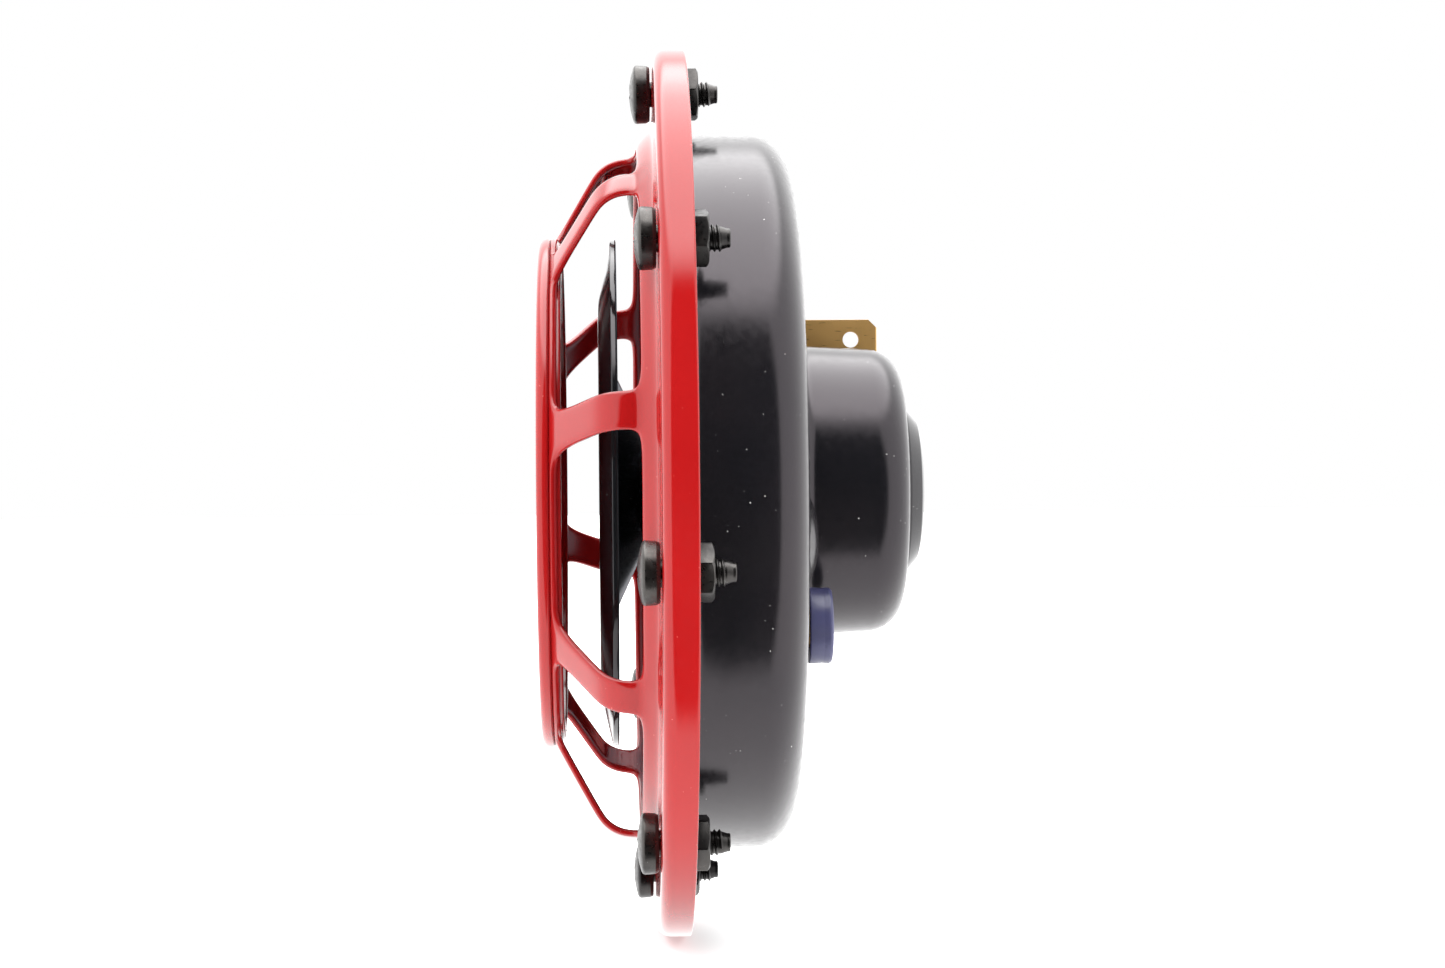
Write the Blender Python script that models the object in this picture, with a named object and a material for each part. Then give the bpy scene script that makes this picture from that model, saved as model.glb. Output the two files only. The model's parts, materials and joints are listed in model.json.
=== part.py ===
"""Electric disc horn with a side-vented front grille.

The horn axis is the Y axis. The mounting face of the rear boss is the plane Y = 0, the grille faces -Y
and +Z is up. Clock angles are degrees about the axis, from +X towards +Z.
"""
import math

import bmesh
import bpy
from mathutils import Matrix, Vector

MM = 0.001

# Clearances
SEAT_GAP = 0.2 * MM  # between clamped sheets, and between a screw and its nut
PART_GAP = 0.3 * MM  # between any other two pieces
HOLE_GAP = 0.3 * MM  # radial, round a shank in a hole

# Pressed housing
SHELL_SHEET = 1.0 * MM
SHELL_RADIUS = 53.4 * MM
SHELL_DEPTH = 17.65 * MM  # from the rear of the flange to the rear face beside the cup
SHELL_CORNER_RADIUS = 7.2 * MM
SHELL_CORNER_SQUASH = 0.8  # depth of the corner over its width
SHELL_FACE_FALL = 1.0 * MM  # how far the rear face slopes forwards towards its edge
SHELL_BEND_RADIUS = 2.0 * MM
CUP_RADIUS = 21.9 * MM
CUP_DEPTH = 15.9 * MM
CUP_DRAFT = 0.8 * MM
CUP_CORNER_RADIUS = 5.2 * MM

# Rim fasteners
BOLT_COUNT = 8
BOLT_CLOCK_DEG = -10.1
BOLT_RADIUS = 1.85 * MM
BOLT_HEAD_RADIUS = 4.1 * MM
BOLT_HEAD_HEIGHT = 3.0 * MM
BOLT_END_LENGTH = 2.9 * MM  # past the nut
BOLT_END_RADIUS = 1.3 * MM
NUT_ACROSS_FLATS = 3.78 * BOLT_RADIUS
NUT_CORNER_RADIUS = NUT_ACROSS_FLATS / 2.0 / math.cos(math.radians(30.0))
NUT_HEIGHT = 2.95 * MM
NUT_CLEARANCE = 0.06 * MM  # from the nut's corner to the bend of the housing
BOLT_CIRCLE_RADIUS = SHELL_RADIUS + SHELL_BEND_RADIUS + NUT_CORNER_RADIUS + NUT_CLEARANCE
RIM_EDGE_DISTANCE = 6.9 * MM

# Grille
RIM_RADIUS = BOLT_CIRCLE_RADIUS + RIM_EDGE_DISTANCE
RIM_EDGE_RADIUS = 1.5 * MM
SKIRT_DEPTH = 4.9 * MM
GRILLE_SHEET = 1.2 * MM
GRILLE_FLANGE_SHEET = 1.0 * MM
GRILLE_HEIGHT = 16.8 * MM
GRILLE_WALL_RADIUS = BOLT_CIRCLE_RADIUS - 7.3 * MM
GRILLE_WALL_HEIGHT = 3.6 * MM
GRILLE_BEND_RADIUS = 6.0 * MM
FRONT_DISC_RADIUS = 38.4 * MM
FRONT_DISC_THICKNESS = 1.8 * MM
FRONT_DISC_OVERHANG = 0.4 * MM
FRONT_LIP_DEPTH = 3.5 * MM
FRONT_LIP_WIDTH = 1.5 * MM
FRONT_PANEL_SHARE = 0.6  # radius of the shallow round panel over that of the disc
FRONT_PANEL_DEPTH = 0.5 * MM
WINDOW_COUNT = 8
WINDOW_REAR_OFFSET = 2.6 * MM  # from the front of the flange to the windows
WINDOW_FRONT_OFFSET = 2.1 * MM  # from the front of the grille to the windows
WINDOW_CORNER_RADIUS = 2.6 * MM
RIB_WIDTH = 5.4 * MM
RIB_CLOCK_DEG = 12.4

# Mounting boss
BOSS_LENGTH = 2.9 * MM
BOSS_BASE_RADIUS = 12.9 * MM
BOSS_FACE_RADIUS = 9.0 * MM
MOUNT_HOLE_RADIUS = 3.4 * MM
MOUNT_HOLE_DEPTH = 11.0 * MM

# Clamped sheets
GASKET_SHEET = 0.3 * MM
DIAPHRAGM_SHEET = 0.35 * MM
DIAPHRAGM_WAVE_RADIUS = 40.0 * MM
DIAPHRAGM_WAVE_WIDTH = 8.0 * MM
DIAPHRAGM_WAVE_HEIGHT = 1.2 * MM

# Moving group
SPINDLE_RADIUS = 2.5 * MM
SPINDLE_FRONT_LENGTH = 0.15 * MM  # past its nut
SPINDLE_SOCKET_DEPTH = 10.0 * MM
SPINDLE_NUT_ACROSS_FLATS = 3.2 * SPINDLE_RADIUS
SPINDLE_NUT_HEIGHT = 4.0 * MM
SPINDLE_WASHER_SHEET = 1.0 * MM
SPINDLE_WASHER_RADIUS = SPINDLE_RADIUS + 3.1 * MM
SPACER_RADIUS = 7.5 * MM
SPACER_LENGTH = 2.25 * MM
TONE_DISC_RADIUS = 38.1 * MM
TONE_DISC_SHEET = 1.2 * MM
TONE_EDGE_SHEET = 1.0 * MM
TONE_FLAT_RADIUS = 30.5 * MM
TONE_CONE_RADIUS = 20.7 * MM
TONE_SEAT_RADIUS = 8.3 * MM
TONE_CONE_RISE = 5.75 * MM
TONE_EDGE_FALL = 1.6 * MM
PLUNGER_RADIUS = 7.5 * MM
ARMATURE_FRONT_RADIUS = PLUNGER_RADIUS + 1.5 * MM
ARMATURE_COLLAR_RADIUS = PLUNGER_RADIUS + 5.0 * MM
ARMATURE_COLLAR_THICKNESS = 2.0 * MM
PLUNGER_LENGTH = 4.2 * MM
AIR_GAP = 0.8 * MM

# Electromagnet
POLE_PLATE_SHEET = 2.0 * MM
POLE_PLATE_RADIUS = CUP_RADIUS + 2.4 * MM
PLUNGER_CLEARANCE = 0.7 * MM
BOBBIN_WALL = 1.2 * MM
BOBBIN_CLEARANCE = 0.4 * MM  # radial, round the pole core
BOBBIN_FLANGE_RADIUS = CUP_RADIUS - CUP_DRAFT - SHELL_SHEET - 1.1 * MM
BOBBIN_LENGTH = CUP_DEPTH - 4.7 * MM
WINDING_RADIUS = BOBBIN_FLANGE_RADIUS - 0.8 * MM
CORE_FLANGE_RADIUS = PLUNGER_RADIUS + 3.5 * MM
CORE_NECK_RADIUS = MOUNT_HOLE_RADIUS + 1.2 * MM
CORE_NECK_SEAT = 1.2 * MM  # boss material left behind the neck

# Contact breaker, its centres given by a distance outside the cup and a clock angle
POST_PLACE = (9.8 * MM, -12.2)
CONTACT_PLACE = (1.95 * MM, -33.0)
ADJUSTER_PLACE = (7.4 * MM, -41.3)
PUSHER_DISTANCE = PLUNGER_RADIUS + 3.0 * MM  # from the horn axis
BASE_INSULATOR_SHEET = 2.7 * MM
SPACER_INSULATOR_SHEET = 1.2 * MM
TOP_INSULATOR_SHEET = 1.0 * MM
INSULATOR_RADIUS = 4.4 * MM
ARM_SHEET = 0.5 * MM
ARM_POST_RADIUS = 4.5 * MM
ARM_CONTACT_RADIUS = 3.2 * MM
ARM_PUSHER_RADIUS = 2.2 * MM
PLATE_SHEET = 0.8 * MM
PLATE_POST_RADIUS = 5.0 * MM
PLATE_END_RADIUS = 3.4 * MM
RIVET_RADIUS = 1.4 * MM
RIVET_HEAD_RADIUS = 2.8 * MM
RIVET_HEAD_HEIGHT = 1.1 * MM
CONTACT_RADIUS = 1.6 * MM
CONTACT_SHANK_RADIUS = 0.8 * MM
CONTACT_TAIL = 0.4 * MM
CONTACT_OPENING = 0.4 * MM
BULGE_RADIUS = 7.0 * MM
BULGE_HEIGHT = 1.6 * MM

# Adjuster
SCREW_RADIUS = 1.9 * MM
SCREW_LENGTH = 6.2 * MM
SCREW_SLOT_WIDTH = 0.8 * MM
SCREW_SLOT_DEPTH = 0.8 * MM
TIP_RADIUS = 1.3 * MM
TIP_LENGTH = 1.5 * MM
BUSH_RADIUS = 3.0 * MM
BUSH_FLANGE_RADIUS = 4.4 * MM
BUSH_FLANGE_SHEET = 1.5 * MM
BUSH_PROJECTION = 0.8 * MM
CAP_RADIUS = 5.5 * MM
CAP_LENGTH = 3.4 * MM
CAP_TOP = 1.6 * MM

# Terminals
BLADE_WIDTH = 6.3 * MM
BLADE_SHEET = 0.8 * MM
BLADE_LENGTH = 12.4 * MM  # from the underside of the foot to the tip
BLADE_HOLE_RADIUS = 1.25 * MM
BLADE_HOLE_FROM_TIP = 4.1 * MM
BLADE_TIP_CHAMFER = 1.3 * MM
FOOT_LENGTH = 9.6 * MM
FOOT_RIVET_FROM_BLADE = 5.2 * MM
TERMINAL_PLACES = ((6.33 * MM, 123.3), (6.6 * MM, 161.6))  # blade centres, outside the cup
TERMINAL_PLATE_SHEET = 1.2 * MM
TERMINAL_PLATE_RADIUS = 5.6 * MM
TERMINAL_PLATE_CUP_CLEARANCE = 0.8 * SHELL_BEND_RADIUS
TERMINAL_COLLAR_RADIUS = 3.0 * MM
TERMINAL_WASHER_RADIUS = 4.6 * MM
TERMINAL_WASHER_SHEET = 1.0 * MM
TERMINAL_RIVET_HEAD_RADIUS = 2.4 * MM
TERMINAL_RIVET_HEAD_HEIGHT = 0.8 * MM

# Leads
LEAD_RADIUS = 0.4 * MM
LEAD_HOLE_RADIUS = 0.9 * MM
LEAD_ORBIT_RADIUS = BOBBIN_FLANGE_RADIUS + 1.0 * MM
RETURN_LEAD_RADIUS = CUP_RADIUS + 18.1 * MM
SUPPLY_LEAD_CLOCK_DEG = 133.0
BREAKER_LEAD_CLOCK_DEG = 28.0

# Facets round a full turn
BIG_SEGMENTS = 40
MEDIUM_SEGMENTS = 24
SMALL_SEGMENTS = 12
CORNER_STEPS = 4

# Axial stations, from the mounting face forwards
CUP_REAR = -BOSS_LENGTH
SHELL_REAR = CUP_REAR - CUP_DEPTH
SHELL_FLANGE_REAR = SHELL_REAR - SHELL_DEPTH
SHELL_FLANGE_FRONT = SHELL_FLANGE_REAR - SHELL_SHEET
REAR_GASKET_REAR = SHELL_FLANGE_FRONT - SEAT_GAP
DIAPHRAGM_REAR = REAR_GASKET_REAR - GASKET_SHEET - SEAT_GAP
DIAPHRAGM_FRONT = DIAPHRAGM_REAR - DIAPHRAGM_SHEET
FRONT_GASKET_REAR = DIAPHRAGM_FRONT - SEAT_GAP
GRILLE_FLANGE_REAR = FRONT_GASKET_REAR - GASKET_SHEET - SEAT_GAP
GRILLE_FLANGE_FRONT = GRILLE_FLANGE_REAR - GRILLE_FLANGE_SHEET
GRILLE_FRONT = GRILLE_FLANGE_FRONT - GRILLE_HEIGHT
NUT_FRONT = SHELL_FLANGE_REAR + SEAT_GAP
NUT_REAR = NUT_FRONT + NUT_HEIGHT
SPACER_REAR = DIAPHRAGM_FRONT - PART_GAP
TONE_SEAT_REAR = SPACER_REAR - SPACER_LENGTH - PART_GAP
TONE_SEAT_FRONT = TONE_SEAT_REAR - TONE_DISC_SHEET
SPINDLE_WASHER_REAR = TONE_SEAT_FRONT - PART_GAP
SPINDLE_NUT_REAR = SPINDLE_WASHER_REAR - SPINDLE_WASHER_SHEET - PART_GAP
SPINDLE_FRONT = SPINDLE_NUT_REAR - SPINDLE_NUT_HEIGHT - SPINDLE_FRONT_LENGTH
ARMATURE_FRONT = DIAPHRAGM_REAR + PART_GAP
POLE_PLATE_REAR = SHELL_REAR - SHELL_SHEET - PART_GAP
POLE_PLATE_FRONT = POLE_PLATE_REAR - POLE_PLATE_SHEET
BOBBIN_FRONT = POLE_PLATE_REAR + PART_GAP
BOBBIN_REAR = BOBBIN_FRONT + BOBBIN_LENGTH
CORE_REAR = CUP_REAR - SHELL_SHEET - PART_GAP
CORE_FLANGE_FRONT = BOBBIN_REAR + PART_GAP
CORE_FRONT = POLE_PLATE_REAR - 0.4 * MM
PLUNGER_REAR = CORE_FRONT - AIR_GAP
COLLAR_REAR = PLUNGER_REAR - PLUNGER_LENGTH
COLLAR_FRONT = COLLAR_REAR - ARMATURE_COLLAR_THICKNESS

GRILLE_RED = (0.55, 0.01, 0.012, 1.0)
HOUSING_BLACK = (0.012, 0.012, 0.014, 1.0)
FASTENER_DARK = (0.07, 0.075, 0.07, 1.0)
STEEL = (0.45, 0.45, 0.46, 1.0)
SPRING_STEEL = (0.32, 0.33, 0.36, 1.0)
BRASS = (0.72, 0.5, 0.18, 1.0)
SILVER = (0.8, 0.8, 0.78, 1.0)
COPPER_ENAMEL = (0.42, 0.13, 0.03, 1.0)
FIBRE_BROWN = (0.2, 0.09, 0.04, 1.0)
GASKET_GREY = (0.12, 0.12, 0.12, 1.0)
BOBBIN_IVORY = (0.7, 0.66, 0.55, 1.0)
CAP_VIOLET = (0.09, 0.09, 0.35, 1.0)


def clear_scene():
    """Remove every object that the file opens with."""
    for scene_object in list(bpy.data.objects):
        bpy.data.objects.remove(scene_object, do_unlink=True)


def make_material(name, color, roughness, metallic):
    """Return a Principled material."""
    material = bpy.data.materials.new(name)
    material.use_nodes = True
    shader = material.node_tree.nodes["Principled BSDF"]
    shader.inputs["Base Color"].default_value = color
    shader.inputs["Roughness"].default_value = roughness
    shader.inputs["Metallic"].default_value = metallic
    return material


def finish_mesh(mesh_name, bm):
    """Turn a bmesh into a mesh with outward faces and smooth round sides."""
    bmesh.ops.recalc_face_normals(bm, faces=bm.faces)
    mesh = bpy.data.meshes.new(mesh_name)
    bm.to_mesh(mesh)
    bm.free()
    mesh.shade_smooth()
    mesh.set_sharp_from_angle(angle=math.radians(35.0))
    return mesh


def add_object(name, bm, look, location=(0.0, 0.0, 0.0), parent=None):
    """Make one named sub-part; look is its (colour, roughness, metallic)."""
    piece = bpy.data.objects.new(name, finish_mesh(name, bm))
    piece.data.materials.append(make_material(name, *look))
    piece.location = location
    piece.parent = parent
    bpy.context.collection.objects.link(piece)
    return piece


def add_cutter(name, bm):
    """Make an operand of a Boolean, which isn't a piece of the horn."""
    cutter = bpy.data.objects.new(name, finish_mesh(name, bm))
    cutter.hide_render = True
    cutter.display_type = "WIRE"
    bpy.context.collection.objects.link(cutter)
    return cutter


def add_boolean(piece, operand, operation="DIFFERENCE"):
    """Cut an operand from a piece, or join it on."""
    modifier = piece.modifiers.new(operand.name, "BOOLEAN")
    modifier.operation = operation
    modifier.solver = "EXACT"
    modifier.object = operand


def add_joint_empty(name, location):
    """Mark a joint's axis."""
    empty = bpy.data.objects.new(name, None)
    empty.location = location
    bpy.context.collection.objects.link(empty)
    return empty


def turned(profile, segments):
    """Spin a closed outline of (radius, y) points about the Y axis."""
    bm = bmesh.new()
    verts = [bm.verts.new((radius, y, 0.0)) for radius, y in profile]
    edges = [bm.edges.new((verts[index - 1], verts[index])) for index in range(len(verts))]
    bmesh.ops.spin(bm, geom=verts + edges, cent=(0, 0, 0), axis=(0, 1, 0), angle=2.0 * math.pi,
                   steps=segments, use_merge=True)
    bmesh.ops.remove_doubles(bm, verts=bm.verts, dist=0.001 * MM)
    loose = [edge for edge in bm.edges if not edge.link_faces]
    bmesh.ops.delete(bm, geom=loose, context="EDGES")
    return bm


def ring(inner_radius, outer_radius, front, rear):
    """Return the outline of a plain ring."""
    return [(inner_radius, front), (outer_radius, front), (outer_radius, rear), (inner_radius, rear)]


def arc(centre, radii, start_deg, end_deg, steps=CORNER_STEPS):
    """Return points of an elliptic arc in the (radius, y) plane, ends included."""
    points = []
    for step in range(steps + 1):
        angle = math.radians(start_deg + (end_deg - start_deg) * step / steps)
        points.append((centre[0] + radii[0] * math.cos(angle), centre[1] + radii[1] * math.sin(angle)))
    return points


def around(radius, clock_deg, y=0.0):
    """Return the point at a radius and a clock angle about the horn axis."""
    angle = math.radians(clock_deg)
    return Vector((radius * math.cos(angle), y, radius * math.sin(angle)))


def plate(discs, front, rear, segments=SMALL_SEGMENTS):
    """Return a flat plate, the hull of discs given as ((x, z), radius)."""
    bm = bmesh.new()
    for (x, z), radius in discs:
        for y in (front, rear):
            place = Matrix.Translation((x, y, z)) @ Matrix.Rotation(math.radians(90.0), 4, "X")
            bmesh.ops.create_circle(bm, segments=segments, radius=radius, matrix=place)
    hull = bmesh.ops.convex_hull(bm, input=bm.verts, use_existing_faces=False)
    spare = set(hull["geom_interior"] + hull["geom_unused"])
    loose = [item for item in spare if isinstance(item, bmesh.types.BMVert)]
    bmesh.ops.delete(bm, geom=loose, context="VERTS")
    bmesh.ops.dissolve_limit(bm, angle_limit=math.radians(1.0), verts=bm.verts, edges=bm.edges)
    return bm


def drill_bits(points, radius, front, rear, segments=SMALL_SEGMENTS):
    """Return one cylinder for each (x, z) point, joined in one bmesh."""
    bm = bmesh.new()
    for x, z in points:
        place = Matrix.Translation((x, (front + rear) / 2.0, z)) @ Matrix.Rotation(math.radians(90.0), 4, "X")
        bmesh.ops.create_cone(bm, cap_ends=True, segments=segments, radius1=radius, radius2=radius,
                              depth=rear - front, matrix=place)
    return bm


def box(low, high):
    """Return a box between two corners."""
    bm = bmesh.new()
    size = Vector(high) - Vector(low)
    centre = (Vector(high) + Vector(low)) / 2.0
    bmesh.ops.create_cube(bm, size=1.0, matrix=Matrix.Translation(centre) @ Matrix.Diagonal(size.to_4d()))
    return bm


def across_plane(place):
    """Return the (x, z) point at a distance outside the cup and a clock angle."""
    distance, clock_deg = place
    point = around(CUP_RADIUS + distance, clock_deg)
    return (point.x, point.z)


BREAKER_POST = across_plane(POST_PLACE)
CONTACT_POINT = across_plane(CONTACT_PLACE)
ADJUSTER_POINT = across_plane(ADJUSTER_PLACE)
TERMINALS = [across_plane(place) for place in TERMINAL_PLACES]


def shell_face_y(radius):
    """Return the Y of the housing's sloping rear face at a radius."""
    flat_edge = SHELL_RADIUS - SHELL_CORNER_RADIUS
    cup_edge = CUP_RADIUS + SHELL_BEND_RADIUS
    share = (radius - cup_edge) / (flat_edge - cup_edge)
    return SHELL_REAR - SHELL_FACE_FALL * min(max(share, 0.0), 1.0)


def shell_inner_y(radius):
    """Return the Y of the inside of that face at a radius."""
    return shell_face_y(radius) - SHELL_SHEET


# Levels of the contact breaker, from the housing forwards
BASE_INSULATOR_REAR = shell_inner_y(Vector(BREAKER_POST).length + INSULATOR_RADIUS) - PART_GAP
ARM_REAR = BASE_INSULATOR_REAR - BASE_INSULATOR_SHEET - PART_GAP
ARM_FRONT = ARM_REAR - ARM_SHEET
SPACER_INSULATOR_REAR = ARM_FRONT - PART_GAP
PLATE_REAR = SPACER_INSULATOR_REAR - SPACER_INSULATOR_SHEET - PART_GAP
PLATE_FRONT = PLATE_REAR - PLATE_SHEET
TOP_INSULATOR_REAR = PLATE_FRONT - PART_GAP
RIVET_HEAD_REAR = TOP_INSULATOR_REAR - TOP_INSULATOR_SHEET - PART_GAP


def bolt_points():
    """Return the (x, z) centres of the rim bolts."""
    step = 360.0 / BOLT_COUNT
    places = [around(BOLT_CIRCLE_RADIUS, BOLT_CLOCK_DEG + step * index) for index in range(BOLT_COUNT)]
    return [(place.x, place.z) for place in places]


def pusher_point():
    """Return the (x, z) place where the armature collar meets the contact arm."""
    post = Vector(BREAKER_POST)
    return tuple(post.normalized() * PUSHER_DISTANCE)


def rivet_point(blade_point):
    """Return the (x, z) centre of the rivet that holds a terminal's foot."""
    return (blade_point[0] - FOOT_RIVET_FROM_BLADE, blade_point[1])


def shell_outline():
    """Return the closed outline of the pressed housing."""
    rim = RIM_RADIUS - GRILLE_SHEET - PART_GAP
    bend = SHELL_BEND_RADIUS
    edge_y = SHELL_REAR - SHELL_FACE_FALL
    corner = (SHELL_RADIUS - SHELL_CORNER_RADIUS, edge_y - SHELL_CORNER_RADIUS * SHELL_CORNER_SQUASH)
    cup_top = CUP_RADIUS - CUP_DRAFT
    cup_corner = (cup_top - CUP_CORNER_RADIUS, CUP_REAR - CUP_CORNER_RADIUS)
    hole = CORE_NECK_RADIUS + HOLE_GAP
    outer = [(rim, SHELL_FLANGE_REAR)]
    outer += arc((SHELL_RADIUS + bend, SHELL_FLANGE_REAR + bend), (bend, bend), 270, 180, 2)
    outer += arc(corner, (SHELL_CORNER_RADIUS, SHELL_CORNER_RADIUS * SHELL_CORNER_SQUASH), 0, 90)
    outer += arc((CUP_RADIUS + bend, SHELL_REAR + bend), (bend, bend), 270, 180, 2)
    outer += arc(cup_corner, (CUP_CORNER_RADIUS, CUP_CORNER_RADIUS), 0, 90)
    outer += [(hole, CUP_REAR)]
    sheet = SHELL_SHEET
    small = bend + sheet
    inner = [(hole, CUP_REAR - sheet)]
    inner += arc(cup_corner, (CUP_CORNER_RADIUS - sheet, CUP_CORNER_RADIUS - sheet), 90, 0)
    inner += arc((CUP_RADIUS + bend, SHELL_REAR + bend), (small, small), 180, 270, 2)
    inner_corner = (SHELL_CORNER_RADIUS - sheet, SHELL_CORNER_RADIUS * SHELL_CORNER_SQUASH - sheet)
    inner += arc(corner, inner_corner, 90, 0)
    inner += arc((SHELL_RADIUS + bend, SHELL_FLANGE_REAR + bend), (small, small), 180, 270, 2)
    inner += [(rim, SHELL_FLANGE_FRONT)]
    return outer + inner


def build_housing(look):
    """Make the pressed housing with its cup, its holes and the embossed bulge."""
    shell = add_object("housing_shell", turned(shell_outline(), BIG_SEGMENTS), look)
    post_radius = Vector(BREAKER_POST).length
    dome = BULGE_RADIUS ** 2 / (2.0 * BULGE_HEIGHT) + BULGE_HEIGHT / 2.0
    face = shell_face_y(post_radius)
    half = math.degrees(math.asin(BULGE_RADIUS / dome))
    bulge = [(0.0, face - SHELL_SHEET * 0.5), (BULGE_RADIUS, face - SHELL_SHEET * 0.5)]
    bulge += arc((0.0, face + BULGE_HEIGHT - dome), (dome, dome), 90.0 - half, 90.0)
    bulge_mesh = turned(bulge, SMALL_SEGMENTS)
    bmesh.ops.translate(bulge_mesh, verts=bulge_mesh.verts, vec=(BREAKER_POST[0], 0.0, BREAKER_POST[1]))
    add_boolean(shell, add_cutter("bulge_form", bulge_mesh), "UNION")
    rivets = [rivet_point(blade_point) for blade_point in TERMINALS]
    holes = drill_bits(rivets, TERMINAL_COLLAR_RADIUS + HOLE_GAP, POLE_PLATE_FRONT, CUP_REAR)
    add_boolean(shell, add_cutter("terminal_hole_drill", holes))
    bush_hole = drill_bits([ADJUSTER_POINT], BUSH_RADIUS + HOLE_GAP, POLE_PLATE_FRONT, CUP_REAR)
    add_boolean(shell, add_cutter("bush_hole_drill", bush_hole))
    return shell


def grille_outline():
    """Return the closed outline of the grille: skirt, flange, wall and dome down to the front disc."""
    sheet = GRILLE_SHEET
    flange_sheet = GRILLE_FLANGE_SHEET
    edge = RIM_EDGE_RADIUS
    front = GRILLE_FLANGE_FRONT
    wall = GRILLE_WALL_RADIUS
    rim_centre = (RIM_RADIUS - edge, front + edge)
    bend = GRILLE_BEND_RADIUS
    bend_centre = Vector((wall - bend, front - GRILLE_WALL_HEIGHT))
    slope_end = Vector((FRONT_DISC_RADIUS - FRONT_DISC_OVERHANG, GRILLE_FRONT + FRONT_DISC_THICKNESS))
    reach = slope_end - bend_centre
    slope = math.atan2(reach.y, reach.x) + math.acos(bend / reach.length)
    outward = Vector((math.cos(slope), math.sin(slope)))
    sunk_end = slope_end + Vector((outward.y, -outward.x)) * sheet
    outer = [(RIM_RADIUS, front + SKIRT_DEPTH)]
    outer += arc(rim_centre, (edge, edge), 0, -90, 2)
    outer += [(wall + 3.0 * MM, front), (wall + 1.6 * MM, front - 1.3 * MM)]
    outer += [(wall, front - WINDOW_REAR_OFFSET)]
    outer += arc(bend_centre, (bend, bend), 0, math.degrees(slope)) + [tuple(sunk_end)]
    inner = [tuple(sunk_end - outward * sheet)]
    inner += arc(bend_centre, (bend - sheet, bend - sheet), math.degrees(slope), 0)
    inner += [(wall + 0.4 * MM, front - 0.2 * MM), (wall + 2.0 * MM, front + flange_sheet)]
    inner += [(RIM_RADIUS - sheet, front + flange_sheet), (RIM_RADIUS - sheet, front + SKIRT_DEPTH)]
    return outer + inner


def window_cutters():
    """Return one tapered block for each window; its sides leave parallel ribs between windows."""
    step = 360.0 / WINDOW_COUNT
    half_step = math.radians(step / 2.0)
    front = GRILLE_FRONT + WINDOW_FRONT_OFFSET
    rear = GRILLE_FLANGE_FRONT - WINDOW_REAR_OFFSET
    corner = WINDOW_CORNER_RADIUS
    bm = bmesh.new()
    for index in range(WINDOW_COUNT):
        turn = Matrix.Rotation(math.radians(-(RIB_CLOCK_DEG + step * (index + 0.5))), 4, "Y")
        loops = []
        for distance in (FRONT_DISC_RADIUS * 0.8, RIM_RADIUS):
            half_width = distance * math.tan(half_step) - RIB_WIDTH / 2.0 / math.cos(half_step)
            outline = []
            for across, along, start in ((1, 1, 0), (-1, 1, 90), (-1, -1, 180), (1, -1, 270)):
                centre_z = across * (half_width - corner)
                centre_y = (front + rear) / 2.0 + along * ((rear - front) / 2.0 - corner)
                outline += arc((centre_z, centre_y), (corner, corner), start, start + 90, 3)
            loops.append([bm.verts.new(turn @ Vector((distance, y, z))) for z, y in outline])
        for loop in loops:
            bm.faces.new(loop)
        count = len(loops[0])
        for place in range(count):
            after = (place + 1) % count
            bm.faces.new((loops[0][place], loops[0][after], loops[1][after], loops[1][place]))
    return bm


def front_disc_outline():
    """Return the closed outline of the solid front disc with its inner lip."""
    edge = FRONT_DISC_THICKNESS * 0.75
    radius = FRONT_DISC_RADIUS
    lip_outer = radius - GRILLE_SHEET
    rear = GRILLE_FRONT + FRONT_DISC_THICKNESS
    outline = [(0.0, rear), (lip_outer - FRONT_LIP_WIDTH, rear)]
    outline += [(lip_outer - FRONT_LIP_WIDTH, GRILLE_FRONT + FRONT_LIP_DEPTH)]
    outline += [(lip_outer, GRILLE_FRONT + FRONT_LIP_DEPTH), (lip_outer, rear), (radius, rear)]
    outline += arc((radius - edge * 2.0, GRILLE_FRONT + edge), (edge * 2.0, edge), 0, -90, 3)
    outline += [(radius * FRONT_PANEL_SHARE + FRONT_PANEL_DEPTH, GRILLE_FRONT)]
    outline += [(radius * FRONT_PANEL_SHARE, GRILLE_FRONT + FRONT_PANEL_DEPTH)]
    outline += [(0.0, GRILLE_FRONT + FRONT_PANEL_DEPTH)]
    return outline


def build_grille(look, bolt_drill):
    """Make the one-piece grille."""
    grille = add_object("front_grille", turned(grille_outline(), BIG_SEGMENTS), look)
    add_boolean(grille, add_cutter("window_form", window_cutters()))
    add_boolean(grille, add_cutter("front_disc_form", turned(front_disc_outline(), BIG_SEGMENTS)), "UNION")
    add_boolean(grille, bolt_drill)
    return grille


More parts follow.
